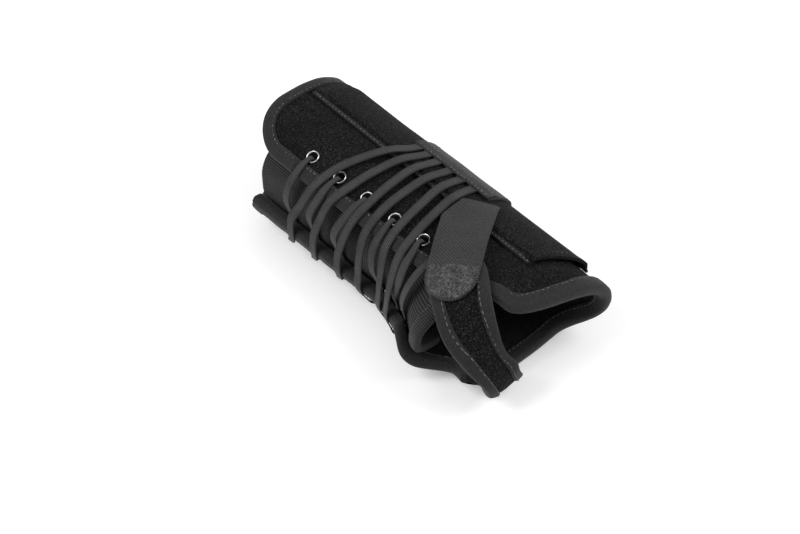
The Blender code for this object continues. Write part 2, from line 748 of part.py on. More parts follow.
def palm_underside(x, y):
    """The height of the palmar panel's outer face at a place across the palm."""
    around = girth(x)
    faces = np.array([place(x, 0.5 * around + off, PANEL) for off in spread(-0.2 * around, 0.2 * around, 61)])
    order = faces[:, 1].argsort()
    return float(np.interp(y, faces[order, 1], faces[order, 2]))


def make_palmar_stay():
    rim = PALMAR_POCKET_HALF - 2.5
    throat = PALMAR_STAY_HALF + 2.0
    sections = []
    for x in steps(PALMAR_POCKET_START_X, PALMAR_POCKET_END_X, 14.0):
        def point(y, z):
            return np.array([x - ORIGIN_X, y, z])

        def seat(y, down=0.0):
            return point(y, palm_underside(x, y) - GAP - down)

        half, flat = PALMAR_POCKET_HALF, PALMAR_POCKET_FLAT
        wall = POCKET_WALL
        outer = [seat(-half), seat(-half, wall), point(-flat, 0.0), point(flat, 0.0), seat(half, wall)]
        inner = [seat(half), seat(rim), point(throat, wall), point(-throat, wall), seat(-rim)]
        sections.append(outer + inner)
    loft("palmar_stay_pocket", sections, "pile")

    low = POCKET_WALL + GAP
    half = PALMAR_STAY_HALF
    outline = ((-half, low), (half, low), (half, low + STAY), (-half, low + STAY))
    ends = (PALMAR_STAY_START_X, PALMAR_STAY_END_X)
    sections = [[np.array([x - ORIGIN_X, y, z]) for y, z in outline] for x in ends]
    origin = np.mean(np.vstack(sections), axis=0)
    loft("palmar_stay", sections, "stay_metal", origin)


def closure_hinge():
    """Two points of the fold line, on the strap's outer face."""
    high = CLOSURE_LOW + TAB
    return place(TAB_START_X, CLOSURE_FOLD_S, high), place(TAB_END_X, CLOSURE_FOLD_S, high)


def make_closure():
    stations = steps(TAB_START_X, TAB_END_X, 9.0)
    across = steps(TAB_EDGE_S, CLOSURE_FOLD_S + GAP, 4.0)

    def tab_low(u, v):
        return max(over_pocket(v, CLOSURE_LOW) + GAP, CLOSURE_LOW)

    def tab_high(u, v):
        return tab_low(u, v) + TAB

    rows = [[(x, s) for s in across] for x in stations]
    sheet("lace_tab", place, rows, tab_low, tab_high, "webbing")

    first, last = closure_hinge()
    origin = 0.5 * (first + last)
    inset, corner = CLOSURE_INSET, CLOSURE_CORNER
    straight = list(steps(CLOSURE_FOLD_S, CLOSURE_END_S + corner, 4.0))
    bend = [CLOSURE_END_S + corner * (1 - math.sin(math.radians(a))) for a in (26, 48, 74)]
    rows = []
    for s in straight + bend:
        rise = max(0.0, 1 - (s - CLOSURE_END_S) / corner)
        trim = corner * (1 - math.sqrt(1 - rise**2)) + (0.0 if s == CLOSURE_FOLD_S else 0.5 * inset)
        rows.append([(x, s) for x in spread(TAB_START_X + trim, TAB_END_X - trim, 7)])
    sheet("closure_strap", place, rows, level(CLOSURE_LOW), level(CLOSURE_LOW + TAB), "webbing", origin)

    reach = (CLOSURE_END_S + inset + CLOSURE_HOOK_LENGTH, CLOSURE_END_S + inset)
    trim = corner + inset
    rows = [[(x, s) for x in spread(TAB_START_X + trim, TAB_END_X - trim, 5)] for s in steps(*reach, 4.0)]
    sheet("closure_hook_patch", place, rows, level(PANEL + GAP), level(PANEL + GAP + HOOK), "hook", origin)


def strap_half(t):
    """Half the thumb strap's width, t along it from its rounded top end."""
    share = min(1.0, t / STRAP_NARROWS_AT)
    half = STRAP_HALF_TOP + (STRAP_HALF_PALM - STRAP_HALF_TOP) * share
    if t < STRAP_CORNER:
        half -= STRAP_CORNER - math.sqrt(STRAP_CORNER**2 - (STRAP_CORNER - t) ** 2)
    return half


def strap_hinge(band):
    """Two points of the seam on the palm, on the strap's outer face."""
    half = STRAP_HALF_PALM
    return band(band.length, -half, 0.5 * STRAP), band(band.length, half, 0.5 * STRAP)


def make_thumb_strap():
    band = Band(STRAP_ROUTE, STRAP_SIDES)
    hinge = strap_hinge(band)
    origin = 0.5 * (hinge[0] + hinge[1])
    corner = [STRAP_CORNER * (1 - math.cos(math.radians(a))) for a in (0, 20, 40, 65, 90)]
    stations = corner + list(steps(STRAP_CORNER, band.length - TAPE, 4.5)[1:])
    rows = []
    for t in stations + [band.length - GAP]:
        rows.append([(t, w) for w in spread(-strap_half(t), strap_half(t), 7)])
    sheet("thumb_strap", band, rows, level(-0.5 * STRAP), level(0.5 * STRAP), "pile", origin)
    side = [(t, strap_half(t)) for t in stations if t < band.length - STRAP_TAPE_WIDTH]
    top = [(0.0, w) for w in spread(-strap_half(0.0), strap_half(0.0), 4)[1:-1]]
    outline = [(t, -w) for t, w in side[::-1]] + top + side
    low, high, gap = -0.5 * STRAP, 0.5 * STRAP, GAP + 0.1
    edge_tape("thumb_strap_binding", band, outline, -1, low, high, "tape", gap, STRAP_TAPE_WIDTH, origin)


def hook_tab_band():
    """The hook tab's route, from its root over the pocket to its rounded end on the thumb strap."""
    angle = math.radians(HOOK_TAB_HEADING)
    start = POCKET_OUTER + GAP + 0.5 * HOOK_TAB
    end = STRAP_TAPE_TOP + GAP + 0.5 * HOOK_TAB
    route = []
    for t, h in ((0.0, start), (10.0, start), (30.0, end), (40.0, end), (HOOK_TAB_LENGTH, end)):
        route.append((HOOK_TAB_ROOT[0] + t * math.cos(angle), HOOK_TAB_ROOT[1] + t * math.sin(angle), h))
    side = (math.sin(angle), -math.cos(angle), 0.0)
    return Band(route, [side] * len(route))


def hook_tab_hinge(band):
    return band(0.0, -HOOK_TAB_ROOT_LEFT, 0.5 * HOOK_TAB), band(0.0, HOOK_TAB_HALF, 0.5 * HOOK_TAB)


def make_hook_tab():
    band = hook_tab_band()
    hinge = hook_tab_hinge(band)
    origin = 0.5 * (hinge[0] + hinge[1])
    half, length = HOOK_TAB_HALF, HOOK_TAB_LENGTH
    bend = [length - half * (1 - math.sin(math.radians(a))) for a in (0, 22, 44, 64, 80)]
    rows = []
    for t in list(steps(0.0, length - half, 5.0)[:-1]) + bend:
        round_off = max(0.0, (t - length + half) / half)
        right = half * math.sqrt(1 - round_off**2)
        share = min(1.0, t / HOOK_TAB_SHOULDER)
        left = min(right, HOOK_TAB_ROOT_LEFT + (half - HOOK_TAB_ROOT_LEFT) * share)
        rows.append([(t, w) for w in spread(-left, right, 7)])
    sheet("hook_tab", band, rows, level(-0.5 * HOOK_TAB), level(0.5 * HOOK_TAB), "webbing", origin)
    start = HOOK_PATCH_START
    end = min(start + HOOK_PATCH_LENGTH, length - HOOK_PATCH_INSET)
    low = STRAP_TOP - STRAP_TAPE_TOP - 0.5 * HOOK_TAB
    rows = []
    for t in steps(start, end, 4.0):
        rows.append([(t, w) for w in spread(-HOOK_PATCH_HALF, HOOK_PATCH_HALF, 5)])
    sheet("hook_patch", band, rows, level(low), level(-0.5 * HOOK_TAB - GAP), "hook", origin)


def main():
    for old in list(bpy.data.objects):
        bpy.data.objects.remove(old, do_unlink=True)
    make_panels()
    make_bindings()
    make_tongue()
    make_eyelets()
    make_laces()
    make_dorsal_stay()
    make_palmar_stay()
    make_closure()
    make_thumb_strap()
    make_hook_tab()


main()
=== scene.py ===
"""Dresses the wrist splint: pile laminate, bound edges, flat laces, webbing, stitches and eyelets.

A pattern point has x along the arm, s round the arm (0 on the dorsal ridge, positive towards the thumb) and
h, the height above the form that the soft pieces are wrapped round. Pattern lengths are in millimetres.
"""

import math

import bmesh
import bpy
import numpy as np
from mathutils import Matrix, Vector


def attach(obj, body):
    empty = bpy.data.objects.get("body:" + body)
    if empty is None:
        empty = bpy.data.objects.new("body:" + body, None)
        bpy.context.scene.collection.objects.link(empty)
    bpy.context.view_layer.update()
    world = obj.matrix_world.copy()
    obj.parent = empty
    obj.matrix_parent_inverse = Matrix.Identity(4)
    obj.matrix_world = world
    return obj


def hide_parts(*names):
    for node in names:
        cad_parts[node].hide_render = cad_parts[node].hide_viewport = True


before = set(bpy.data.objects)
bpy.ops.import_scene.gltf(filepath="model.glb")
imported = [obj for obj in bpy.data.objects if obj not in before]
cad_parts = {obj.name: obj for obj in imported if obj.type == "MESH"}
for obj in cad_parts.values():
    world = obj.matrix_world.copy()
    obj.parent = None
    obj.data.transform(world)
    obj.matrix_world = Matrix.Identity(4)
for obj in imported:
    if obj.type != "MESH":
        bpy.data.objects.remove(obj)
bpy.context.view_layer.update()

MM = 0.001
GAP = 0.3

# The form, as in the part's source
FORM_X = (0.0, 20.0, 50.0, 100.0, 125.0, 145.0, 165.0, 195.0)
FORM_TOP = (62.0, 60.9, 59.25, 56.5, 55.1, 54.0, 52.9, 46.5)
FORM_BOTTOM = (9.0, 6.3, 6.2, 6.2, 6.2, 6.2, 6.8, 10.0)
FORM_THUMB_SIDE = (37.0, 36.6, 36.0, 35.0, 41.0, 52.0, 42.0, 32.0)
FORM_ULNAR_SIDE = (36.5, 36.3, 36.0, 36.0, 36.0, 36.0, 36.2, 37.0)
TOP_ROUNDNESS = 2.2
PALM_FLATNESS = 2.8
FORM_SAMPLES = 721
ORIGIN_X = 87.0

# Panels
PANEL = 3.0
DORSAL_SEAM_S = -45.0
PALMAR_SEAM_S = -78.0
FLAP_RADIUS = 24.0
EYELET_EDGE_S = 29.5
EYELET_EDGE_TAPER = 3.0
EYELET_EDGE_END_X = 132.0
WEB_EDGE_S = 15.0
WEB_EDGE_X = 172.0
KNUCKLE_CROWN = 16.5
PALM_END_X = 172.0
LACE_EDGE_S = 59.0
LACE_EDGE_END_X = 130.0
THENAR_DEPTH = 24.0
THENAR_END_S = 66.0
PALM_CORNER = 14.0
PALM_CORNER_REACH = 34.0
PALM_CORNER_FADE_X = 60.0

# Binding tape
TAPE = 1.2
TAPE_WIDTH = 5.5
CURVE_GAP = 0.55
STITCH_INSET = 1.2
FLAP_TAPE_END_X = 36.0
WEB_TAPE_START_X = 167.5
WEB_TAPE_UNDER_X = 158.0

# Rows of stitches: pitch, length and thread radius
BINDING_STITCH = (2.6, 1.9, 0.23)
COARSE_STITCH = (2.4, 1.7, 0.26)
ZIGZAG_STITCH = (2.2, 1.7, 0.26)
HEM_STITCH = (2.1, 1.5, 0.2)
PALMAR_STITCH = (2.6, 1.8, 0.26)
STRAP_END_STITCH = (1.6, 1.4, 0.22)
TACK_STITCH = (0.75, 0.7, 0.22)

# Tongue
TONGUE = 1.8
TONGUE_START_X = 14.0
TONGUE_HEM = 0.8 * TAPE
TONGUE_HEM_X = 152.0
TONGUE_HEM_SLANT = 0.13
TONGUE_DORSAL_S = 10.0
TONGUE_PALMAR_S = 68.0
TONGUE_THUMB_FLARE = 28.0
TONGUE_FLARE_X = 112.0
TONGUE_HIGH = -2.1
TONGUE_LOW = -4.1
RIB_PITCH = 1.35
RIB_HEIGHT = 0.26

# Eyelets and laces
EYELET_COUNT = 6
LAST_EYELET_X = 131.0
EYELET_PITCH = 19.5
LAST_EYELET_PITCH = 13.0
EYELET_INSET = 10.0
EYELET_FLANGE = 3.6
EYELET_BORE = 2.75
EYELET_HOLE = 2.95
EYELET_SEAT = 0.3
PALMAR_EYELET_SEAT = 0.75
PALMAR_EYELET_S = 70.0
LACE_WIDTH = 5.0
LACE = 1.1
LACE_IN_EYELET = 2.8
SLIT_MIDDLE_S = 40.0
LACE_STATIONS = (-8.0, 6.0, 18.0, 29.0, 40.0, 50.0)
LACE_RUNS = (
    (72.5, 67.0, 60.0, 55.5, 52.5, 49.5, 45.5),
    (79.0, 75.5, 71.5, 69.0, 65.5, 63.5, 62.0),
    (86.0, 84.0, 83.0, 83.0, 82.0, 80.5, 79.5),
    (94.5, 93.0, 91.5, 91.0, 91.5, 93.0, 94.5),
    (102.5, 102.0, 103.0, 104.0, 105.5, 109.0, 111.0),
    (111.0, 111.0, 112.0, 113.5, 115.0, 117.5, 119.5),
)
LACE_TURNS = (41.0, 58.0, 76.0, 98.5, 114.3, 123.5)
LACE_RETURNS = (
    (37.5, 38.5, 39.5),
    (54.5, 56.0, 58.5),
    (72.5, 74.0, 77.0),
    (102.0, 101.0, 99.5),
    (118.5, 122.5, 121.0),
    (127.5, 129.0, 130.0),
)

# Stay pockets
DORSAL_POCKET_S = -23.0
DORSAL_POCKET_HALF = 15.0
DORSAL_POCKET_ROOF = 12.3
DORSAL_POCKET_SEAM = 1.0
DORSAL_POCKET_START_X = 7.5
DORSAL_POCKET_END_X = 164.0
DORSAL_POCKET_SLANT = 12.0
POCKET_WALL = 1.2
STAY = 1.2
STAY_CLEARANCE = 0.7
PALMAR_POCKET_HALF = 20.0
PALMAR_POCKET_FLAT = 15.5
PALMAR_POCKET_START_X = 17.0
PALMAR_POCKET_END_X = 157.0
PALMAR_STAY_HALF = 10.5

# Lace tab, closure strap, thumb strap and hook tab
TAB = 1.3
TAB_START_X = 69.0
TAB_END_X = 121.0
TAB_EDGE_S = -21.8
CLOSURE_FOLD_S = -46.0
CLOSURE_END_S = -72.0
CLOSURE_CORNER = 8.0
CLOSURE_INSET = 3.0
HEM = 0.75
HEM_WIDTH = 4.4
HEM_OVERHANG = 1.6
HOOK = 1.0
STRAP = 2.2
STRAP_ROUTE = (
    (137.0, 15.8, 5.9),
    (144.0, 20.3, 5.9),
    (152.0, 25.4, 6.0),
    (162.0, 31.3, 6.0),
    (171.5, 36.0, 2.6),
    (178.0, 39.5, -0.6),
    (183.5, 46.5, -3.1),
    (185.5, 56.8, -2.7),
    (183.2, 66.5, 0.8),
    (179.0, 73.5, 1.8),
    (175.5, 76.5, 1.6),
    (172.9, 76.5, 1.5),
)
STRAP_SIDES = (
    (0.54, -0.84, 0.0),
    (0.54, -0.84, 0.0),
    (0.54, -0.84, 0.0),
    (0.54, -0.84, 0.0),
    (0.45, -0.74, -0.45),
    (0.25, -0.5, -0.83),
    (0.1, 0.0, -1.0),
    (0.0, 0.6, -0.8),
    (0.0, 0.9, -0.44),
    (0.0, 0.97, -0.25),
    (0.0, 1.0, -0.1),
    (0.0, 1.0, 0.0),
)
STRAP_HALF_TOP = 14.0
STRAP_HALF_PALM = 10.0
STRAP_NARROWS_AT = 50.0
STRAP_CORNER = 13.0
STRAP_TAPE_WIDTH = 4.5
HOOK_TAB = 1.2
HOOK_TAB_ROOT = (118.5, -14.0)
HOOK_TAB_HEADING = 53.6
HOOK_TAB_LENGTH = 60.0
HOOK_TAB_HALF = 12.0
HOOK_TAB_ROOT_LEFT = 5.0
HOOK_TAB_SHOULDER = 12.0
PRESSED_START = 41.0

# View and light: angles in degrees, lengths in metres, the lens and its sensor in millimetres
SENSOR_WIDTH = 36.0
LENS = 90.0
CAMERA_AZIMUTH = 47.0
CAMERA_ELEVATION = 46.0
CAMERA_DISTANCE = 1.0
CAMERA_TARGET = (0.0105, 0.0, 0.032)
CAMERA_RIGHT = 0.0102
CAMERA_UP = 0.01505
FILL_LIGHT = 0.55
LIGHT_TARGET = (0.0, 0.0, 0.03)
KEY_SPOT = (-0.35, -0.75, 0.95)
KEY_SIZE = 0.7
KEY_LIGHT = 9.0
RIM_SPOT = (0.55, 0.45, 0.75)
RIM_SIZE = 0.6
RIM_LIGHT = 5.0
FLOOR_HALF = 3.0
FLOOR_GLOW = 0.25

# Heights of what lies on the dorsal panel
POCKET_INNER = PANEL + 2 * STAY_CLEARANCE + STAY
POCKET_OUTER = POCKET_INNER + POCKET_WALL
TAPE_TOP = PANEL + GAP + TAPE
LACE_LOW = TAPE_TOP + GAP + 0.5 * LACE + 0.1
LACE_HIGH = POCKET_OUTER + GAP + 0.5 * LACE + 0.15
CLOSURE_LOW = PANEL + GAP + HOOK + GAP
STRAP_LOW = PANEL + GAP + TAPE + GAP
STRAP_TOP = STRAP_LOW + STRAP
STRAP_TAPE_TOP = STRAP_TOP + GAP + TAPE


# The form and the maps from pattern to space


def along_form(x, values):
    """The form's value at x: a cubic through the stations that never swings past them."""
    stations = np.array(FORM_X)
    values = np.array(values)
    rise = np.diff(values) / np.diff(stations)
    slope = np.zeros(len(values))
    slope[0], slope[-1] = rise[0], rise[-1]
    for i in range(1, len(rise)):
        if rise[i - 1] * rise[i] > 0:
            slope[i] = 2 * rise[i - 1] * rise[i] / (rise[i - 1] + rise[i])
    x = min(max(x, stations[0]), stations[-1])
    i = min(int(np.searchsorted(stations, x, side="right")) - 1, len(rise) - 1)
    span = stations[i + 1] - stations[i]
    t = (x - stations[i]) / span
    start = values[i] * (1 + 2 * t) * (1 - t) ** 2 + slope[i] * span * t * (1 - t) ** 2
    return start + values[i + 1] * t * t * (3 - 2 * t) + slope[i + 1] * span * t * t * (t - 1)


def form_section(x):
    """The form's outline at x as y, z and the distance s along it, and the length all round."""
    angle = np.linspace(-math.pi, math.pi, FORM_SAMPLES)
    top, bottom = along_form(x, FORM_TOP), along_form(x, FORM_BOTTOM)
    side = np.where(angle > 0, along_form(x, FORM_THUMB_SIDE), along_form(x, FORM_ULNAR_SIDE))
    power = np.where(np.cos(angle) > 0, 2 / TOP_ROUNDNESS, 2 / PALM_FLATNESS)
    y = -side * np.sign(np.sin(angle)) * np.abs(np.sin(angle)) ** power
    rise = np.sign(np.cos(angle)) * np.abs(np.cos(angle)) ** power
    z = 0.5 * (top + bottom) + 0.5 * (top - bottom) * rise
    run = np.concatenate([[0.0], np.cumsum(np.hypot(np.diff(y), np.diff(z)))])
    return y, z, run - np.interp(0.0, angle, run), run[-1]


TABLE_X = np.arange(-4.0, 204.5, 1.0)
TABLE_S = np.arange(-170.0, 170.5, 0.5)


def form_tables():
    """The form's surface and its outward normals on a grid of x and s, and its girth at each x."""
    across, up, girths = [], [], []
    for x in TABLE_X:
        y, z, run, around = form_section(x)
        across.append(np.interp(TABLE_S, run, y, period=around))
        up.append(np.interp(TABLE_S, run, z, period=around))
        girths.append(around)
    across, up = np.array(across), np.array(up)
    step_y, step_z = np.gradient(across, axis=1), np.gradient(up, axis=1)
    size = np.hypot(step_y, step_z)
    return across, up, step_z / size, -step_y / size, np.array(girths)


FORM_Y, FORM_Z, FORM_NY, FORM_NZ, FORM_GIRTH = form_tables()


def girth(x):
    return float(np.interp(x, TABLE_X, FORM_GIRTH))


def place(x, s, h):
    """The points in space, in metres, of pattern points."""
    x, s, h = np.broadcast_arrays(np.asarray(x, float), np.asarray(s, float), np.asarray(h, float))
    at_x = np.clip((x - TABLE_X[0]) / (TABLE_X[1] - TABLE_X[0]), 0, len(TABLE_X) - 1.001)
    at_s = np.clip((s - TABLE_S[0]) / (TABLE_S[1] - TABLE_S[0]), 0, len(TABLE_S) - 1.001)
    i, k = at_x.astype(int), at_s.astype(int)
    a, b = at_x - i, at_s - k

    def read(table):
        low = table[i, k] * (1 - b) + table[i, k + 1] * b
        return low * (1 - a) + (table[i + 1, k] * (1 - b) + table[i + 1, k + 1] * b) * a

    ny, nz = read(FORM_NY), read(FORM_NZ)
    size = np.hypot(ny, nz)
    y, z = read(FORM_Y) + h * ny / size, read(FORM_Z) + h * nz / size
    return np.stack([x - ORIGIN_X, y, z], -1) * MM


def unit(vectors):
    return vectors / np.maximum(np.linalg.norm(vectors, axis=-1, keepdims=True), 1e-12)


def smooth_curve(points, step):
    """Samples about a step apart on a curve through the points. Columns past the third are carried along."""
    points = np.array(points, float)
    chord = np.linalg.norm(np.diff(points[:, :3], axis=0), axis=1)
    at = np.concatenate([[0.0], np.cumsum(chord)])
    slope = np.gradient(points, at, axis=0)
    samples = []
    for i, length in enumerate(chord):
        count = max(1, round(length / step))
        for k in range(count + (i == len(chord) - 1)):
            t = k / count
            start = points[i] * (1 + 2 * t) * (1 - t) ** 2 + slope[i] * length * t * (1 - t) ** 2
            end = points[i + 1] * t * t * (3 - 2 * t) + slope[i + 1] * length * t * t * (t - 1)
            samples.append(start + end)
    return np.array(samples)


class Band:
    """A band along a route over the form: a map from t along it, w across it and n through it to space."""

    def __init__(self, route, sides=None, step=0.5):
        samples = smooth_curve(route if sides is None else np.hstack([route, sides]), step)
        self.route = samples[:, :3]
        heading = unit(np.gradient(self.route, axis=0))
        self.sides = unit(self.flat_sides(heading) if sides is None else samples[:, 3:])
        self.normals = unit(np.cross(heading, self.sides))
        self.normals *= math.copysign(1.0, self.normals[0, 2])
        self.t = np.concatenate([[0.0], np.cumsum(np.linalg.norm(np.diff(self.route, axis=0), axis=1))])
        self.length = self.t[-1]

    @staticmethod
    def flat_sides(heading):
        """Sides that lie in the pattern and never flip over, also where the band dives through a hole."""
        flattest = 0.35
        sides = []
        for x, s, _ in heading:
            side = np.array([s, -x, 0.0])
            if sides and np.linalg.norm(side) < flattest:
                side = sides[-1]
            if sides and side @ sides[-1] < 0:
                side = -side
            sides.append(unit(side))
        return np.array(sides)

    def __call__(self, t, w, n):
        t, w, n = np.broadcast_arrays(np.asarray(t, float), np.asarray(w, float), np.asarray(n, float))

        def read(table):
            return np.stack([np.interp(t, self.t, column) for column in table.T], -1)

        point = read(self.route) + w[..., None] * read(self.sides) + n[..., None] * read(self.normals)
        return place(point[..., 0], point[..., 1], point[..., 2])


def spread(start, end, count):
    return np.linspace(start, end, count)


def steps(start, end, step):
    return spread(start, end, max(2, round(abs(end - start) / step) + 1))


def ease(t):
    """A smooth step from 0 to 1."""
    t = np.clip(t, 0.0, 1.0)
    return t * t * (3 - 2 * t)


# Mesh builders


def new_object(name, points, faces, uvs=None, inside=None, smooth=True, crease=60):
    """A piece from points in metres. uvs are millimetres for each point, and inside is 1 on lining points."""
    mesh = bpy.data.meshes.new(name)
    mesh.from_pydata([tuple(p) for p in np.reshape(points, (-1, 3))], [], faces)
    shaper = bmesh.new()
    shaper.from_mesh(mesh)
    bmesh.ops.recalc_face_normals(shaper, faces=shaper.faces)
    shaper.to_mesh(mesh)
    shaper.free()
    if uvs is not None:
        layer = mesh.uv_layers.new(name="pattern")
        corners = np.zeros(len(mesh.loops), dtype=np.int32)
        mesh.loops.foreach_get("vertex_index", corners)
        layer.data.foreach_set("uv", np.reshape(uvs, (-1, 2))[corners].astype(np.float32).ravel())
    if inside is not None:
        lining = mesh.attributes.new("lining", "FLOAT", "POINT")
        lining.data.foreach_set("value", np.ravel(inside).astype(np.float32))
    mesh.polygons.foreach_set("use_smooth", [smooth] * len(mesh.polygons))
    mesh.set_sharp_from_angle(angle=math.radians(crease))
    made = bpy.data.objects.new(name, mesh)
    bpy.context.scene.collection.objects.link(made)
    return made


def tube_faces(count, around, caps=True):
    """Faces of a tube of closed rings, with a fan of quads over each end when it is a folded layer."""
    faces = []
    for i in range(count - 1):
        for k in range(around):
            a, b = i * around + k, i * around + (k + 1) % around
            faces.append((a, b, b + around, a + around))
    if caps:
        for start in (0, (count - 1) * around):
            for k in range(around // 2 - 1):
                faces.append((start + k, start + k + 1, start + around - 2 - k, start + around - 1 - k))
    return faces


def all_round(values):
    """Values on a grid, repeated for the points of its layer: the underside, then the top, with the noses."""
    return np.concatenate([values[:, :1], values, values[:, -1:], values[:, ::-1]], axis=1)


def layer(name, surface, u, v, low, high, fold=0.35, weave=None):
    """A closed layer over a grid of pattern points, with low and high heights given on the grid.

    Its two long edges are rounded: an extra point stands out by fold at half the height. The weave, where it
    is given, takes the place of v in the cloth's pattern.
    """
    u, v = np.asarray(u, float), np.asarray(v, float)
    low, high = np.broadcast_to(low, u.shape), np.broadcast_to(high, u.shape)
    under, over = surface(u, v, low), surface(u, v, high)
    middle = 0.5 * (low + high)

    def nose(edge, beside):
        du, dv = u[:, edge] - u[:, beside], v[:, edge] - v[:, beside]
        size = np.maximum(np.hypot(du, dv), 1e-9)
        return surface(u[:, edge] + fold * du / size, v[:, edge] + fold * dv / size, middle[:, edge])

    rings = np.concatenate(
        [nose(0, 1)[:, None], under, nose(-1, -2)[:, None], over[:, ::-1]], axis=1
    )
    uv_rings = all_round(np.stack([u, v if weave is None else weave], -1))
    count, across = u.shape
    flags = np.zeros(2 * across + 2)
    flags[: across + 2] = 1.0
    inside = np.broadcast_to(flags, (count, 2 * across + 2))
    faces = tube_faces(count, 2 * across + 2, caps=False)
    for start in (0, (count - 1) * (2 * across + 2)):
        top = start + 2 * across + 1
        faces.append((start, start + 1, top))
        for k in range(across - 1):
            faces.append((start + 1 + k, start + 2 + k, top - 1 - k, top - k))
        faces.append((start + across, start + across + 1, start + across + 2))
    return new_object(name, rings, faces, uv_rings, inside)


def sweep(name, rings, along, across, crease=60):
    """A tube through closed rings of points. along and across are its pattern lengths for the weave."""
    count, around = rings.shape[:2]
    uvs = np.stack(np.broadcast_arrays(np.asarray(along)[:, None], np.asarray(across)[None, :]), -1)
    return new_object(name, rings, tube_faces(count, around), uvs, crease=crease)


def fold_profile(width, gap, low, high, thick):
    """A tape folded over an edge, as offsets inward and heights: round its rolled edge and back inside."""
    over, under = high + gap, low - gap
    middle = 0.5 * (over + under)
    radius = 0.5 * (over - under) + thick
    reach = min(0.55 * radius, thick + gap + 0.5)
    outer = [(width, over + 0.35 * thick), (width - 0.25, over + 0.85 * thick), (width - 0.8, over + thick)]
    outer += [(0.55 * width, over + 1.08 * thick), (0.2 * width, over + 1.05 * thick)]
    for degrees in (75, 50, 25, 0, -25, -50, -75):
        a = math.radians(degrees)
        outer.append((-gap + 0.3 - reach * math.cos(a), middle + (radius + 0.02 * thick) * math.sin(a)))
    outer += [(0.2 * width, under - thick), (0.6 * width, under - thick), (width, under - 0.7 * thick)]
    inner = [(width, under), (0.5 * width, under), (-gap, under + 0.1)]
    inner += [(-gap, over - 0.1), (0.5 * width, over), (width, over)]
    return np.array(outer + inner)


def resample(outline, step):
    """Even samples along a pattern outline."""
    outline = np.array(outline, float)
    run = np.concatenate([[0.0], np.cumsum(np.hypot(*np.diff(outline, axis=0).T))])
    at = np.linspace(0.0, run[-1], max(2, round(run[-1] / step) + 1))
    return np.stack([np.interp(at, run, outline[:, 0]), np.interp(at, run, outline[:, 1])], 1), at


def inward_of(outline, inside):
    heading = unit(np.gradient(outline, axis=0))
    return inside * np.stack([-heading[:, 1], heading[:, 0]], 1)


def smoothed(values, passes):
    for _ in range(passes):
        values[1:-1] = 0.25 * values[:-2] + 0.5 * values[1:-1] + 0.25 * values[2:]
    return values


def tape(
    name, surface, outline, inside, low, high,
    gap=GAP, width=TAPE_WIDTH, thick=TAPE, ends=(0.0, 0.0), relax=0,
):
    """Binding tape rolled over an edge, with the small wander in width that sewing leaves.

    Ends are the lengths over which it thins to its start and its end, where it goes under another piece.
    Relax is how many times its sections are evened out along it.
    """
    points, run = resample(outline, 1.6)
    inward = unit(smoothed(inward_of(points, inside), 2))
    profile = fold_profile(width, gap, low, high, thick)
    shift = 0.16 * (np.sin(run / 7.3) + 0.6 * np.sin(run / 3.1 + 1.7))
    swell = 0.12 * np.sin(run / 2.4 + 0.8) * np.sin(run / 11.0)
    inset_by, height = profile[None, :, 0], profile[None, :, 1]
    offsets = inset_by + shift[:, None] * (inset_by > 0.5 * width)
    heights = np.broadcast_to(height, offsets.shape) + swell[:, None] * (height > high)
    full = np.ones(len(run))
    for reach, distance in zip(ends, (run, run[-1] - run)):
        if reach:
            full = np.minimum(full, 0.1 + 0.9 * ease(distance / reach))
    full = full[:, None]
    flat = np.clip(heights, low, high)
    heights = flat + full * (heights - flat)
    offsets = np.where(offsets < 0, full * offsets, offsets)
    u = points[:, None, 0] + offsets * inward[:, None, 0]
    v = points[:, None, 1] + offsets * inward[:, None, 1]
    around = np.concatenate([[0.0], np.cumsum(np.hypot(*np.diff(profile, axis=0).T))])
    return sweep(name, smoothed(surface(u, v, heights), relax), run, around)


def stitches(name, surface, outline, height, pitch, length, radius, skew=0.0):
    """A row of sewn stitches along a pattern outline: short plump threads that dip in at both ends."""
    points, run = resample(outline, 0.5)
    total = run[-1]
    count = max(1, int((total + pitch - length) // pitch))
    sides, sections = 6, 5
    turns = np.arange(sides) * 2 * math.pi / sides
    along = np.linspace(-1.0, 1.0, sections)
    heights = np.broadcast_to(height, len(points))
    uneven = np.random.default_rng(count).uniform(-1.0, 1.0, (count, 3))
    every, faces = [], []
    for i, (shift, stretch, sink) in enumerate(uneven):
        centre = 0.5 * (total - (count - 1) * pitch) + (i + 0.12 * shift) * pitch
        at = np.clip(centre + 0.5 * length * (1 + 0.25 * stretch) * along, 0.0, total)
        u, v = np.interp(at, run, points[:, 0]), np.interp(at, run, points[:, 1])
        lift = np.interp(at, run, heights)
        heading = unit(np.array([u[-1] - u[0], v[-1] - v[0]]))
        side = np.array([-heading[1], heading[0]])
        u, v = u + skew * along * side[0], v + skew * along * side[1]
        plump = radius * np.sqrt(np.maximum(0.08, 1 - 0.92 * along**2))
        dip = -1.1 * radius * along**4 - 0.3 * radius * (1 + sink)
        w = plump[:, None] * np.cos(turns)
        n = lift[:, None] + dip[:, None] + plump[:, None] * np.sin(turns)
        start = len(every) * sections * sides
        every.append(surface(u[:, None] + w * side[0], v[:, None] + w * side[1], n))
        faces += [tuple(start + k for k in face) for face in tube_faces(sections, sides)]
    return new_object(name, np.concatenate(every), faces)


def turn_weave(piece):
    """Turns the cloth's pattern by a quarter."""
    data = piece.data.uv_layers["pattern"].data
    uvs = np.zeros(2 * len(data), dtype=np.float32)
    data.foreach_get("uv", uvs)
    data.foreach_set("uv", uvs.reshape(-1, 2)[:, ::-1].ravel())


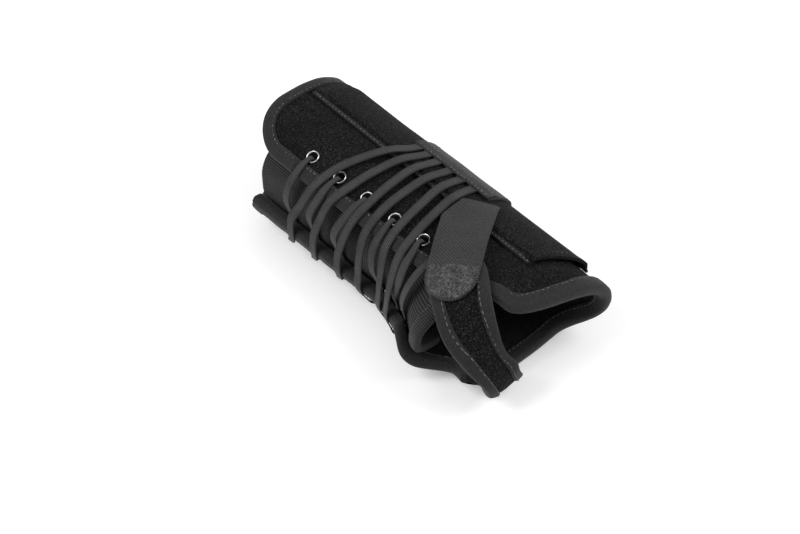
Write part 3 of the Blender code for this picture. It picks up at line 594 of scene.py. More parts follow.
def ring_piece(name, x, s, profile, sides=40):
    """A turned ring square to the form at a pattern point, from a closed profile of radius and height."""
    base = place(x, s, 0.0)
    normal = unit(place(x, s, PANEL) - base)
    first = unit(np.cross((0.0, 1.0, 0.0), normal))
    second = np.cross(normal, first)
    turns = np.linspace(0, 2 * math.pi, sides, endpoint=False)
    circle = np.cos(turns)[:, None] * first + np.sin(turns)[:, None] * second
    profile = np.array(profile) * MM
    points = base + profile[None, :, 0, None] * circle[:, None] + profile[None, :, 1, None] * normal
    count = len(profile)
    faces = []
    for i in range(sides):
        for k in range(count):
            a, b = i * count, (i + 1) % sides * count
            after = (k + 1) % count
            faces.append((a + k, a + after, b + after, b + k))
    return new_object(name, points, faces)


def settle(piece, held, pressure, grow, cap, frames=16):
    """Lets a padded piece swell and pucker between its held points, then keeps the settled shape."""
    mesh = piece.data
    rest = np.zeros(len(mesh.vertices) * 3)
    mesh.vertices.foreach_get("co", rest)
    rest = rest.reshape(-1, 3)
    group = piece.vertex_groups.new(name="sewn")
    for i, weight in enumerate(np.ravel(held)):
        if weight > 0:
            group.add([i], float(weight), "REPLACE")
    cloth = piece.modifiers.new("settle", "CLOTH")
    cloth.settings.quality = 6
    cloth.settings.mass = 0.15
    cloth.settings.tension_stiffness = 12
    cloth.settings.compression_stiffness = 12
    cloth.settings.shear_stiffness = 4
    cloth.settings.bending_stiffness = 0.6
    cloth.settings.air_damping = 4
    cloth.settings.vertex_group_mass = group.name
    cloth.settings.use_pressure = True
    cloth.settings.uniform_pressure_force = pressure
    cloth.settings.shrink_min = -grow
    cloth.settings.effector_weights.gravity = 0
    cloth.point_cache.frame_start = 1
    cloth.point_cache.frame_end = frames
    scene = bpy.context.scene
    for number in range(1, frames + 1):
        scene.frame_set(number)
    settled = piece.evaluated_get(bpy.context.evaluated_depsgraph_get()).to_mesh()
    found = np.zeros(len(settled.vertices) * 3)
    settled.vertices.foreach_get("co", found)
    moved = found.reshape(-1, 3) - rest
    far = np.maximum(np.linalg.norm(moved, axis=1, keepdims=True), 1e-12)
    moved *= np.tanh(far / (cap * MM)) * cap * MM / far
    piece.modifiers.remove(cloth)
    mesh.vertices.foreach_set("co", (rest + moved).ravel())
    mesh.update()
    piece.vertex_groups.clear()
    scene.frame_set(1)


def punch(piece, places, radius):
    """Cuts the eyelet holes."""
    for x, s in places:
        base = place(x, s, 0.0)
        axis = Vector(unit(place(x, s, PANEL) - base))
        shaper = bmesh.new()
        bmesh.ops.create_cone(
            shaper, cap_ends=True, segments=32, radius1=radius * MM, radius2=radius * MM, depth=6 * PANEL * MM
        )
        mesh = bpy.data.meshes.new("punch")
        shaper.to_mesh(mesh)
        shaper.free()
        cutter = bpy.data.objects.new("punch", mesh)
        cutter.rotation_euler = axis.to_track_quat("Z", "Y").to_euler()
        cutter.location = base
        bpy.context.scene.collection.objects.link(cutter)
        cut = piece.modifiers.new("hole", "BOOLEAN")
        cut.object = cutter
        with bpy.context.temp_override(object=piece, active_object=piece, selected_objects=[piece]):
            bpy.ops.object.modifier_apply(modifier=cut.name)
        bpy.data.objects.remove(cutter, do_unlink=True)
        bpy.data.meshes.remove(mesh)


# Materials


class Finish:
    """A Principled material under construction. The constants are values on the shader's own sockets."""

    def __init__(self, name, constants):
        self.material = bpy.data.materials.new(name)
        self.material.use_nodes = True
        self.tree = self.material.node_tree
        self.shader = self.tree.nodes["Principled BSDF"]
        for socket, value in constants.items():
            self.shader.inputs[socket].default_value = value

    def add(self, kind, inputs=(), **settings):
        node = self.tree.nodes.new(kind)
        for setting, value in settings.items():
            setattr(node, setting, value)
        for socket, value in dict(inputs).items():
            self.feed(node.inputs[socket], value)
        return node

    def feed(self, socket, value):
        if isinstance(value, bpy.types.NodeSocket):
            self.tree.links.new(value, socket)
        else:
            socket.default_value = value

    def space(self):
        return self.add("ShaderNodeTexCoord").outputs["Object"]

    def pattern(self):
        """Millimetres along and across the cloth."""
        uv = self.add("ShaderNodeUVMap", uv_map="pattern").outputs[0]
        split = self.add("ShaderNodeSeparateXYZ", {0: uv})
        return split.outputs[0], split.outputs[1]

    def lining(self):
        return self.add("ShaderNodeAttribute", attribute_name="lining").outputs["Fac"]

    def noise(self, scale, detail=2.0, at=None):
        inputs = {"Vector": at or self.space(), "Scale": scale, "Detail": detail}
        return self.add("ShaderNodeTexNoise", inputs).outputs[0]

    def cells(self, scale, at=None):
        inputs = {"Vector": at or self.space(), "Scale": scale}
        return self.add("ShaderNodeTexVoronoi", inputs).outputs["Distance"]

    def math(self, operation, *values):
        return self.add("ShaderNodeMath", dict(enumerate(values)), operation=operation).outputs[0]

    def waves(self, distance, pitch):
        """A ripple from 0 to 1 that repeats at each pitch."""
        turn = self.math("SINE", self.math("MULTIPLY", distance, 2 * math.pi / pitch))
        return self.math("MULTIPLY_ADD", turn, 0.5, 0.5)

    def blend(self, *weighted):
        """A weighted sum of values."""
        total = 0.0
        for value, weight in weighted:
            total = self.math("MULTIPLY_ADD", value, weight, total)
        return total

    def ramp(self, value, *stops):
        """Greys, or colours, at places from 0 to 1."""
        node = self.add("ShaderNodeValToRGB", {0: value})
        elements = node.color_ramp.elements
        while len(elements) < len(stops):
            elements.new(0.5)
        for element, (at, tone) in zip(elements, stops):
            element.position = at
            element.color = (*(tone if isinstance(tone, tuple) else (tone, tone, tone)), 1.0)
        return node.outputs[0]

    def mix(self, share, first, second, how="MIX"):
        node = self.add("ShaderNodeMix", data_type="RGBA", blend_type=how)
        for socket, value in zip((node.inputs[0], node.inputs[6], node.inputs[7]), (share, first, second)):
            self.feed(socket, value)
        return node.outputs[2]

    def finish(self, colour, roughness, height, relief):
        """Links the colour, the roughness and the relief, a height in millimetres, and gives the material."""
        bump = self.add("ShaderNodeBump", {"Height": height, "Distance": relief * MM, "Strength": 1.0})
        self.feed(self.shader.inputs["Base Color"], colour)
        self.feed(self.shader.inputs["Roughness"], roughness)
        self.feed(self.shader.inputs["Normal"], bump.outputs[0])
        return self.material


CLOTH = {"Specular IOR Level": 0.16, "Sheen Weight": 0.06, "Sheen Roughness": 0.45}


def pile_finish():
    """Black loop pile: tufts and flecks, brushed one way in patches, with a smooth knit lining."""
    f = Finish("pile", {**CLOTH, "Specular IOR Level": 0.07, "Sheen Weight": 0.025})
    tufts, fuzz, nap = f.noise(1150.0, 1.0), f.noise(2300.0, 2.0), f.noise(42.0, 3.0)
    loops = f.cells(1150.0)
    fleck = f.blend((tufts, 0.7), (fuzz, 0.45), (loops, -0.2))
    shade = f.ramp(fleck, (0.36, 0.0015), (0.47, 0.0035), (0.57, 0.011), (0.74, 0.034))
    shade = f.mix(1.0, shade, f.ramp(nap, (0.3, 0.7), (0.7, 1.45)), "MULTIPLY")
    knit = f.ramp(f.cells(1500.0), (0.1, 0.02), (0.6, 0.008))
    colour = f.mix(f.lining(), shade, knit)
    roughness = f.ramp(f.blend((nap, 0.5), (fuzz, 0.5)), (0.35, 0.72), (0.65, 0.95))
    height = f.blend((tufts, 0.6), (fuzz, 0.5), (loops, -0.7))
    return f.finish(colour, roughness, height, 0.75)


def tape_finish():
    """Knitted binding tape: fine ribs across it, with a painted highlight, a lighter grey, along the upper
    side of its roll over the edge.
    """
    f = Finish("tape", {**CLOTH, "Sheen Weight": 0.1})
    along, across = f.pattern()
    ribs, courses = f.waves(along, 0.55), f.waves(across, 0.45)
    grain, mottle, patches = f.noise(2600.0, 2.0), f.noise(850.0, 1.0), f.noise(60.0, 3.0)
    # Painted highlight: the upper side of the rolled edge is mixed towards a lighter grey.
    roll_highlight = f.ramp(f.math("DIVIDE", across, 3.2 * TAPE_WIDTH), (0.25, 0.0), (0.36, 1.0), (0.5, 1.0), (0.6, 0.0))
    weave = f.blend((ribs, 0.2), (courses, 0.1), (grain, 0.3), (mottle, 0.5))
    shade = f.ramp(weave, (0.35, 0.006), (0.7, 0.022))
    shade = f.mix(1.0, shade, f.ramp(patches, (0.3, 0.75), (0.7, 1.2)), "MULTIPLY")
    shade = f.mix(f.math("MULTIPLY", roll_highlight, 0.18), shade, (0.034, 0.034, 0.033, 1.0))
    roughness = f.ramp(patches, (0.3, 0.68), (0.7, 0.86))
    height = f.blend((ribs, 0.4), (courses, 0.25), (grain, 0.35))
    return f.finish(shade, roughness, height, 0.14)


def lace_finish():
    """Flat woven lace: warp cords along it, picks across it, and painted shade that darkens it towards its
    rounded edges.
    """
    f = Finish("lace", {**CLOTH, "Sheen Weight": 0.12})
    along, across = f.pattern()
    uneven = f.noise(700.0, 1.0)
    cords = f.waves(f.math("MULTIPLY_ADD", uneven, 0.4, across), 0.9)
    picks = f.waves(f.math("MULTIPLY_ADD", uneven, 1.2, along), 0.8)
    grain, patches = f.noise(2100.0, 2.0), f.noise(90.0, 2.0)
    weave = f.blend((cords, 0.3), (f.math("MULTIPLY", cords, picks), 0.2), (grain, 0.5))
    shade = f.ramp(weave, (0.22, 0.012), (0.5, 0.034), (0.85, 0.07))
    # Painted shade: the lace is lighter along its middle and darker towards its rounded edges.
    middle = f.math("DIVIDE", f.math("ABSOLUTE", across), 0.5 * LACE_WIDTH)
    shade = f.mix(1.0, shade, f.ramp(middle, (0.45, 1.1), (0.95, 0.45)), "MULTIPLY")
    shade = f.mix(1.0, shade, f.ramp(patches, (0.3, 0.8), (0.7, 1.15)), "MULTIPLY")
    roughness = f.ramp(weave, (0.2, 0.85), (0.8, 0.62))
    return f.finish(shade, roughness, weave, 0.22)


def webbing_finish():
    """Woven webbing: a twill of slanting yarns."""
    f = Finish("webbing", {**CLOTH, "Sheen Weight": 0.1})
    along, across = f.pattern()
    slant = f.math("MULTIPLY_ADD", f.noise(900.0, 1.0), 1.1, f.math("ADD", along, across))
    yarns, picks = f.waves(slant, 0.95), f.waves(f.math("SUBTRACT", along, across), 1.7)
    grain, patches = f.noise(1700.0, 2.0), f.noise(55.0, 3.0)
    weave = f.blend((f.math("MULTIPLY", yarns, picks), 0.32), (yarns, 0.16), (grain, 0.62))
    shade = f.ramp(weave, (0.25, 0.012), (0.5, 0.027), (0.85, 0.062))
    shade = f.mix(1.0, shade, f.ramp(patches, (0.3, 0.82), (0.7, 1.15)), "MULTIPLY")
    roughness = f.ramp(weave, (0.2, 0.85), (0.8, 0.6))
    return f.finish(shade, roughness, weave, 0.26)


def pressed_finish():
    """The pressed end of the hook tab: a crossed, crushed weave, lighter where the welding flattened it."""
    f = Finish("pressed webbing", {**CLOTH, "Specular IOR Level": 0.24, "Sheen Weight": 0.08})
    along, across = f.pattern()
    crooked = f.math("MULTIPLY", f.noise(520.0, 2.0), 3.2)
    crossed = f.waves(f.math("ADD", f.math("ADD", along, across), crooked), 1.4)
    crush, grain, patches = f.cells(760.0), f.noise(1300.0, 3.0), f.noise(260.0, 3.0)
    weave = f.blend((crossed, 0.25), (crush, 0.45), (grain, 0.6))
    shade = f.ramp(weave, (0.38, 0.007), (0.6, 0.024), (0.9, 0.075))
    shade = f.mix(1.0, shade, f.ramp(patches, (0.35, 0.6), (0.6, 1.2)), "MULTIPLY")
    roughness = f.ramp(weave, (0.3, 0.8), (0.8, 0.5))
    return f.finish(shade, roughness, weave, 0.34)


def knit_finish():
    """Charcoal rib knit: stitches in rows along each rib."""
    f = Finish("knit", {**CLOTH, "Sheen Weight": 0.12})
    along, across = f.pattern()
    ribs = f.waves(across, RIB_PITCH)
    slanted = f.math("MULTIPLY_ADD", ribs, 0.5, along)
    purl = f.waves(slanted, 0.9)
    grain, patches = f.noise(2400.0, 2.0), f.noise(48.0, 3.0)
    knit = f.blend((ribs, 0.55), (f.math("MULTIPLY", purl, ribs), 0.25), (grain, 0.3))
    shade = f.ramp(knit, (0.2, 0.011), (0.5, 0.021), (0.95, 0.042))
    shade = f.mix(1.0, shade, f.ramp(patches, (0.3, 0.8), (0.7, 1.2)), "MULTIPLY")
    roughness = f.ramp(knit, (0.2, 0.92), (0.8, 0.7))
    return f.finish(shade, roughness, knit, 0.3)


def thread_finish():
    """Twisted sewing thread, a shade lighter than the tape."""
    f = Finish("thread", {**CLOTH, "Specular IOR Level": 0.3, "Sheen Weight": 0.1})
    twist, tone = f.noise(3000.0, 1.0), f.noise(240.0, 1.0)
    shade = f.ramp(f.blend((twist, 0.5), (tone, 0.5)), (0.36, 0.025), (0.64, 0.15))
    return f.finish(shade, f.ramp(tone, (0.3, 0.5), (0.7, 0.7)), twist, 0.08)


def eyelet_finish():
    """Bright nickel plate with fine turning marks and dull patches from handling."""
    f = Finish("eyelet metal", {"Metallic": 1.0})
    marks, patches = f.noise(5200.0, 2.0), f.noise(420.0, 3.0)
    colour = f.ramp(patches, (0.3, (0.42, 0.42, 0.42)), (0.7, (0.62, 0.62, 0.61)))
    roughness = f.ramp(f.blend((marks, 0.4), (patches, 0.6)), (0.3, 0.2), (0.7, 0.4))
    return f.finish(colour, roughness, marks, 0.012)


def stay_finish():
    """Rolled aluminium strip: drawn lines along it and a few scuffs."""
    f = Finish("stay metal", {"Metallic": 1.0})
    stretch = f.add("ShaderNodeMapping", {"Vector": f.space(), "Scale": (0.03, 1.0, 1.0)}).outputs[0]
    lines, scuffs = f.noise(5200.0, 3.0, stretch), f.noise(130.0, 4.0)
    colour = f.ramp(lines, (0.3, (0.52, 0.53, 0.54)), (0.7, (0.68, 0.69, 0.7)))
    roughness = f.ramp(f.blend((lines, 0.4), (scuffs, 0.6)), (0.35, 0.26), (0.65, 0.5))
    return f.finish(colour, roughness, lines, 0.03)


def hook_finish():
    """Moulded hook strip: rows of stems on a matt backing."""
    f = Finish("hook strip", {"Specular IOR Level": 0.3})
    stems, grain = f.cells(720.0), f.noise(1800.0, 2.0)
    shade = f.ramp(stems, (0.1, 0.05), (0.3, 0.02), (0.6, 0.01))
    return f.finish(shade, f.ramp(grain, (0.3, 0.42), (0.7, 0.66)), f.math("SUBTRACT", 1.0, stems), 0.4)


PILE, BINDING, BRAID = pile_finish(), tape_finish(), lace_finish()
WEBBING, PRESSED, KNIT = webbing_finish(), pressed_finish(), knit_finish()
THREAD, NICKEL, ALUMINIUM, HOOKS = thread_finish(), eyelet_finish(), stay_finish(), hook_finish()


def dress(piece, finish, slot, body, *nodes):
    """Gives a piece its material, sets it on its body and hides the solids that it stands for. The slot is
    not used.
    """
    piece.data.materials.clear()
    piece.data.materials.append(finish)
    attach(piece, body)
    if nodes:
        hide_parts(*nodes)
    return piece


def zigzag(name, surface, line, height, stitch, slope, slot, body):
    """Two rows of stitches that slant across each other. The name leaves a place for the row's side."""
    for side, slant in (("out", slope), ("back", -slope)):
        row = stitches(name.format(side), surface, line, height, *stitch, slant)
        dress(row, THREAD, slot, body)


# Outlines, as in the part's source


def radial_edge(x):
    """The thumb-side edge of the dorsal panel: flap corner, eyelet edge, web edge, then the knuckle edge."""
    if x < FLAP_RADIUS:
        return EYELET_EDGE_S - FLAP_RADIUS + math.sqrt(FLAP_RADIUS**2 - (FLAP_RADIUS - x) ** 2)
    if x < EYELET_EDGE_END_X:
        return EYELET_EDGE_S - EYELET_EDGE_TAPER * (x - FLAP_RADIUS) / (EYELET_EDGE_END_X - FLAP_RADIUS)
    if x < WEB_EDGE_X:
        t = (x - EYELET_EDGE_END_X) / (WEB_EDGE_X - EYELET_EDGE_END_X)
        start = EYELET_EDGE_S - EYELET_EDGE_TAPER
        return start + (WEB_EDGE_S - start) * 0.5 * (1 - math.cos(math.pi * t))
    t = min(1.0, (x - WEB_EDGE_X) / KNUCKLE_CROWN)
    return DORSAL_SEAM_S + (WEB_EDGE_S - DORSAL_SEAM_S) * math.sqrt(1 - t * t)


def lace_edge(x):
    """The thumb-side edge of the palmar panel: the lace edge, then the hollow round the thumb's ball."""
    if x < LACE_EDGE_END_X:
        return LACE_EDGE_S
    t = (x - LACE_EDGE_END_X) / (PALM_END_X - LACE_EDGE_END_X)
    return LACE_EDGE_S + (THENAR_END_S - LACE_EDGE_S) * t + THENAR_DEPTH * math.sin(math.pi * t) ** 1.5


def palm_start(s):
    """The proximal edge of the palmar panel, which slants back to its corner at the lace edge."""
    t = np.clip((s - LACE_EDGE_S) / PALM_CORNER_REACH, 0.0, 1.0)
    return PALM_CORNER * 0.5 * (1 + np.cos(math.pi * t))


def ulnar_end(s):
    """The distal edge of the ulnar panel, from the knuckle edge back to the palm's end."""
    t = (s - DORSAL_SEAM_S) / (PALMAR_SEAM_S - DORSAL_SEAM_S)
    knuckles = WEB_EDGE_X + KNUCKLE_CROWN
    return knuckles + (PALM_END_X - knuckles) * 0.5 * (1 - math.cos(math.pi * t))


def knuckle_stations():
    return [WEB_EDGE_X + KNUCKLE_CROWN * math.sin(math.radians(a)) for a in range(0, 88, 4)]


def flap_stations():
    return [FLAP_RADIUS * (1 - math.cos(math.radians(a))) for a in range(0, 91, 5)]


def eyelet_place(i):
    x = LAST_EYELET_X
    if i < EYELET_COUNT - 1:
        x -= LAST_EYELET_PITCH + (EYELET_COUNT - 2 - i) * EYELET_PITCH
    return x, radial_edge(x) - EYELET_INSET


def inset(outline, inside, distance):
    """An outline moved inward by a distance."""
    points, _ = resample(outline, 1.0)
    return points + distance * unit(smoothed(inward_of(points, inside), 4))


# Panels


def lumps(x, s):
    """The slow unevenness of quilted laminate, about a quarter of a millimetre either way."""
    slow = np.sin(x / 11.0 + 1.4 * np.sin(s / 19.0)) * np.sin(s / 8.5 + 0.7)
    quick = np.sin(x / 4.6 + 0.9) * np.sin(s / 5.1 + 0.4 * np.sin(x / 7.0))
    return 0.17 * slow + 0.07 * quick


def near(distance, reach):
    """1 on a line, falling to 0 at a reach from it."""
    return np.exp(-((distance / reach) ** 2))


def panel(name, u, v, edges, seams, node, holes=()):
    """A padded panel over a grid of pattern points.

    Edges are distances to its bound edges, and seams are distances to its sewn lines.
    """
    bound = np.min([ease(edge / TAPE_WIDTH) for edge in edges], axis=0)
    sunk = sum((near(seam, 1.6) for seam in seams), np.zeros(u.shape))
    low = 0.5 * lumps(u + 40.0, v) * bound
    high = PANEL - 0.15 + lumps(u, v) * bound - 0.25 * sunk
    piece = layer(name, place, u, v, low, high)
    held = np.clip(1 - bound + sunk, 0.0, 1.0)
    settle(piece, all_round(held), pressure=2.5, grow=0.02, cap=0.3)
    punch(piece, holes, EYELET_HOLE)
    dress(piece, PILE, "pile", "splint", node)
    return piece


def grid(rows):
    """Separate arrays of u and v from rows of pattern points."""
    rows = np.array(rows, float)
    return rows[..., 0], rows[..., 1]


def make_panels():
    stations = flap_stations() + list(steps(FLAP_RADIUS, WEB_EDGE_X, 2.2)[1:-1]) + knuckle_stations()
    u, v = grid([[(x, s) for s in spread(DORSAL_SEAM_S, radial_edge(x), 46)] for x in stations])
    edge = np.array([radial_edge(x) for x in stations])[:, None] - v
    pocket = np.abs(v - DORSAL_POCKET_S) - DORSAL_POCKET_HALF
    holes = [eyelet_place(i) for i in range(EYELET_COUNT)]
    panel("dorsal_panel_pile", u, v, (u, edge), (pocket, v - DORSAL_SEAM_S), "dorsal_panel", holes)

    across = spread(DORSAL_SEAM_S - GAP, PALMAR_SEAM_S, 18)
    u, v = grid([[(share * ulnar_end(s), s) for s in across] for share in spread(0.0, 1.0, 84)])
    ends = np.array([ulnar_end(s) for s in across])
    panel("ulnar_panel_pile", u, v, (u, ends - u), (v - across[0], v - across[-1]), "ulnar_panel")

    stations = steps(0.0, PALM_END_X, 2.2)
    rows = []
    for x in stations:
        rows.append([(x, s) for s in spread(lace_edge(x), girth(x) + PALMAR_SEAM_S - GAP, 50)])
    u, v = grid(rows)
    u = u + np.maximum(0.0, 1 - u / PALM_CORNER_FADE_X) * palm_start(v)
    holes = [(x, PALMAR_EYELET_S) for x in LACE_TURNS]
    edges = (u - palm_start(v), PALM_END_X - u, v - v[:, :1])
    panel("palmar_panel_pile", u, v, edges, (v - v[:, -1:],), "palmar_panel", holes)


# Binding tape and its stitches


def bind(name, node, outline, inside, gap=GAP, under=0.0):
    """A bound edge of the splint, and the two rows of stitches, outside and inside, that hold the tape."""
    piece = tape(name, place, outline, inside, 0.0, PANEL, gap, ends=(under, 0.0))
    dress(piece, BINDING, "tape", "splint", node)
    line = inset(outline, inside, TAPE_WIDTH - STITCH_INSET)[2 + round(under) : -2]
    outer = stitches(f"{name}_stitches", place, line, PANEL + gap + TAPE, *BINDING_STITCH)
    dress(outer, THREAD, "tape", "splint")
    inner = stitches(f"{name}_inner_stitches", place, line, -gap - TAPE, *BINDING_STITCH)
    dress(inner, THREAD, "tape", "splint")


def make_bindings():
    palm = []
    for s in steps(LACE_EDGE_S + TAPE_WIDTH + GAP, girth(0.0) + PALMAR_SEAM_S, 1.5):
        palm.append((palm_start(s), s - girth(palm_start(s))))
    back = [(0.0, s) for s in steps(PALMAR_SEAM_S, radial_edge(0.0), 1.5)[1:]]
    corner = [(x, radial_edge(x)) for x in flap_stations()[1:]]
    flap_end = [(x, radial_edge(x)) for x in steps(FLAP_RADIUS, FLAP_TAPE_END_X, 2.0)[1:]]
    bind("proximal_tape", "proximal_binding", palm + back + corner + flap_end, -1)

    stations = steps(FLAP_TAPE_END_X + GAP, EYELET_EDGE_END_X, 2.0)
    bind("eyelet_edge_tape", "eyelet_edge_binding", [(x, radial_edge(x)) for x in stations], -1)

    web = [(x, radial_edge(x)) for x in steps(WEB_TAPE_UNDER_X, WEB_EDGE_X, 1.5)[:-1]]
    knuckles = [(x, radial_edge(x)) for x in knuckle_stations()]
    ulnar = [(ulnar_end(s), s) for s in steps(DORSAL_SEAM_S, PALMAR_SEAM_S, 1.5)]
    strap_end = STRAP_ROUTE[-1][1] + STRAP_HALF_PALM + 4 * TAPE
    palm = [(PALM_END_X, s) for s in steps(PALMAR_SEAM_S, strap_end - girth(PALM_END_X), 2.0)[1:]]
    under = WEB_TAPE_START_X - WEB_TAPE_UNDER_X
    bind("distal_tape", "distal_binding", web + knuckles + ulnar + palm, -1, CURVE_GAP, under)

    edge = [(x, lace_edge(x)) for x in steps(PALM_CORNER + TAPE + GAP, PALM_END_X - 3 * TAPE, 1.5)]
    bind("palmar_edge_tape", "palmar_edge_binding", edge, 1, CURVE_GAP)


def make_seams():
    """The flat zigzag seams that join the three panels."""
    seams = (
        ("dorsal_seam", DORSAL_SEAM_S - 0.5 * GAP, WEB_EDGE_X + KNUCKLE_CROWN - TAPE_WIDTH - 2.0),
        ("palmar_seam", PALMAR_SEAM_S, PALM_END_X - TAPE_WIDTH - 2.0),
    )
    for name, s, end in seams:
        line = [(x, s) for x in steps(TAPE_WIDTH + 2.0, end, 2.0)]
        zigzag(name + "_{}_stitches", place, line, PANEL - 0.3, ZIGZAG_STITCH, 1.1, "tape", "splint")


# Tongue


def tongue_edge(x):
    """How far the tongue reaches round the palm side: further where it wraps the thumb's base."""
    return TONGUE_PALMAR_S + TONGUE_THUMB_FLARE * ease((x - TONGUE_FLARE_X) / (TONGUE_HEM_X - TONGUE_FLARE_X))


def tongue_hem(s):
    return TONGUE_HEM_X - TONGUE_HEM_SLANT * (s - TONGUE_DORSAL_S)


def tongue_top(s):
    return np.interp(s, (EYELET_EDGE_S + 3.0, LACE_EDGE_S - 9.0), (TONGUE_HIGH, TONGUE_LOW))


def make_tongue():
    ribs = round((TONGUE_PALMAR_S - TONGUE_DORSAL_S) / RIB_PITCH)
    across = np.arange(4 * ribs + 1)
    rows = []
    for share in spread(0.0, 1.0, 90):
        edge = tongue_edge(TONGUE_START_X + share * (TONGUE_HEM_X - TONGUE_START_X))
        s = spread(TONGUE_DORSAL_S, edge, len(across))
        rows.append(np.stack([TONGUE_START_X + share * (tongue_hem(s) - TONGUE_START_X), s], 1))
    u, v = grid(rows)
    wale = 0.5 * (1 + np.cos(0.5 * math.pi * across))
    soft = 0.12 * np.sin(u / 6.5 + 0.6 * np.sin(v / 9.0))
    high = tongue_top(v) - 0.3 + RIB_HEIGHT * wale + soft
    weave = np.broadcast_to(across * RIB_PITCH / 4, u.shape)
    piece = layer("tongue_knit", place, u, v, tongue_top(v) - TONGUE + 0.2, high, weave=weave)
    dress(piece, KNIT, "knit", "splint", "tongue")

    def over_tongue(x, s, n):
        return place(x, s, tongue_top(s) - TONGUE + n)

    edge = [(tongue_hem(s), s) for s in steps(EYELET_EDGE_S + 1.0, tongue_edge(TONGUE_HEM_X), 1.5)]
    hem = tape("tongue_hem_roll", over_tongue, edge, 1, 0.0, TONGUE, CURVE_GAP, thick=TONGUE_HEM)
    turn_weave(hem)
    dress(hem, KNIT, "knit", "splint", "tongue_hem")
    line = inset(edge, 1, TAPE_WIDTH - STITCH_INSET)[2:-2]
    height = TONGUE + CURVE_GAP + TONGUE_HEM
    sewn = stitches("tongue_hem_stitches", over_tongue, line, height, *HEM_STITCH, skew=0.5)
    dress(sewn, THREAD, "knit", "splint")


# Eyelets and laces


def eyelet(row, number, x, s, seat):
    """A rolled eyelet: a domed rim outside, a thin barrel through the panel and a curled foot inside."""
    top, foot = PANEL + seat, -seat
    rim = [(EYELET_BORE, foot - 0.5), (EYELET_BORE, top + 0.25), (EYELET_BORE + 0.1, top + 0.52)]
    rim += [(EYELET_BORE + 0.3, top + 0.74), (EYELET_BORE + 0.45, top + 0.8)]
    rim += [(EYELET_FLANGE - 0.3, top + 0.7), (EYELET_FLANGE - 0.1, top + 0.42)]
    rim += [(EYELET_FLANGE, top + 0.12), (EYELET_FLANGE - 0.05, top)]
    barrel = EYELET_BORE + 0.13
    curl = [(barrel, top), (barrel, foot), (barrel + 0.45, foot - 0.1), (barrel + 0.6, foot - 0.35)]
    curl += [(barrel + 0.35, foot - 0.6), (barrel, foot - 0.66)]
    piece = ring_piece(f"{row}_ring_{number}", x, s, rim + curl)
    dress(piece, NICKEL, "eyelet_metal", "splint", f"{row}_{number}")


def make_eyelets():
    for i in range(EYELET_COUNT):
        eyelet("eyelet", i + 1, *eyelet_place(i), EYELET_SEAT)
    for i, x in enumerate(LACE_TURNS):
        eyelet("palmar_eyelet", i + 1, x, PALMAR_EYELET_S, PALMAR_EYELET_SEAT)


def lace_route(i):
    """One lace: from the tab over the slit and the palmar edge, then inside and back to its dorsal eyelet."""
    tab_x, *run = LACE_RUNS[i]
    turn_x, end = LACE_TURNS[i], eyelet_place(i)
    inner = -GAP - TAPE - GAP - 0.5 * LACE - 0.6
    slit = 0.5 * (LACE_LOW + inner) + 2.2
    heights = (LACE_HIGH - 0.2, LACE_LOW + 0.2, LACE_LOW, LACE_LOW, slit, slit + 0.9)
    wide, thin = LACE_WIDTH, LACE_IN_EYELET
    edge, hole = LACE_EDGE_S, PALMAR_EYELET_S
    points = [
        (tab_x, TAB_EDGE_S - 1.0, LACE_HIGH, wide),
        (0.85 * tab_x + 0.15 * run[0], TAB_EDGE_S + 6.0, LACE_HIGH, wide),
    ]
    points += [(x, s, h, wide) for x, s, h in zip(run, LACE_STATIONS, heights)]
    points += [
        (run[-1], edge - 1.0, LACE_LOW, wide),
        (0.6 * run[-1] + 0.4 * turn_x, edge + 5.0, LACE_LOW, 0.5 * (wide + thin)),
        (turn_x, hole - 2.4, LACE_LOW + 0.3, thin),
        (turn_x, hole - 0.2, PANEL + 0.9, thin),
        (turn_x, hole, 0.5 * PANEL, thin),
        (turn_x, hole - 0.1, -0.6, thin),
        (turn_x, hole - 1.6, inner, thin),
    ]
    under, middle, rise = LACE_RETURNS[i]
    points += [
        (0.5 * (turn_x + under), edge + 5.0, inner, 0.5 * (wide + thin)),
        (under, edge - 1.5, inner, wide),
        (under, edge - 7.0, inner + 1.4, wide),
        (middle, SLIT_MIDDLE_S, slit - 0.6, wide),
        (rise, EYELET_EDGE_S + 1.8, LACE_LOW - 0.3, wide),
        (0.5 * (rise + end[0]), end[1] + 7.0, LACE_LOW, 0.5 * (wide + thin)),
        (end[0], end[1] + 2.6, LACE_LOW - 0.4, thin),
        (end[0], end[1] + 0.4, PANEL + 0.5, thin),
        (end[0], end[1], 0.5 * PANEL, thin),
        (end[0], end[1], -0.4, thin),
    ]
    return points


def make_laces():
    """Flat laces with rounded selvedges, each sewn under the tab by a bar tack."""
    turns = np.linspace(0, 2 * math.pi, 18, endpoint=False)
    over = np.sign(np.cos(turns)) * np.abs(np.cos(turns)) ** 0.4
    up = np.sign(np.sin(turns)) * np.abs(np.sin(turns)) ** 0.6
    for i in range(len(LACE_RUNS)):
        route = np.array(lace_route(i))
        band = Band(route[:, :3])
        knots = np.array([band.t[np.linalg.norm(band.route - p, axis=1).argmin()] for p in route[:, :3]])
        t = steps(0.0, band.length, 0.9)
        half = 0.5 * np.interp(t, knots, route[:, 3])
        lift = 0.06 * np.sin(t / 3.7 + i) * np.sin(t / 9.1)
        rings = band(t[:, None], half[:, None] * over, 0.3 * LACE * up + lift[:, None])
        piece = sweep(f"lace_braid_{i + 1}", rings, t, 0.5 * LACE_WIDTH * over)
        dress(piece, BRAID, "lace", "splint", f"lace_{i + 1}")
        across = [(2.6, w) for w in spread(-0.5 * LACE_WIDTH - 0.2, 0.5 * LACE_WIDTH + 0.2, 9)]
        zigzag(f"lace_tack_{i + 1}_{{}}", band, across, 0.5 * LACE, TACK_STITCH, 0.8, "lace", "splint")


# Stay pockets


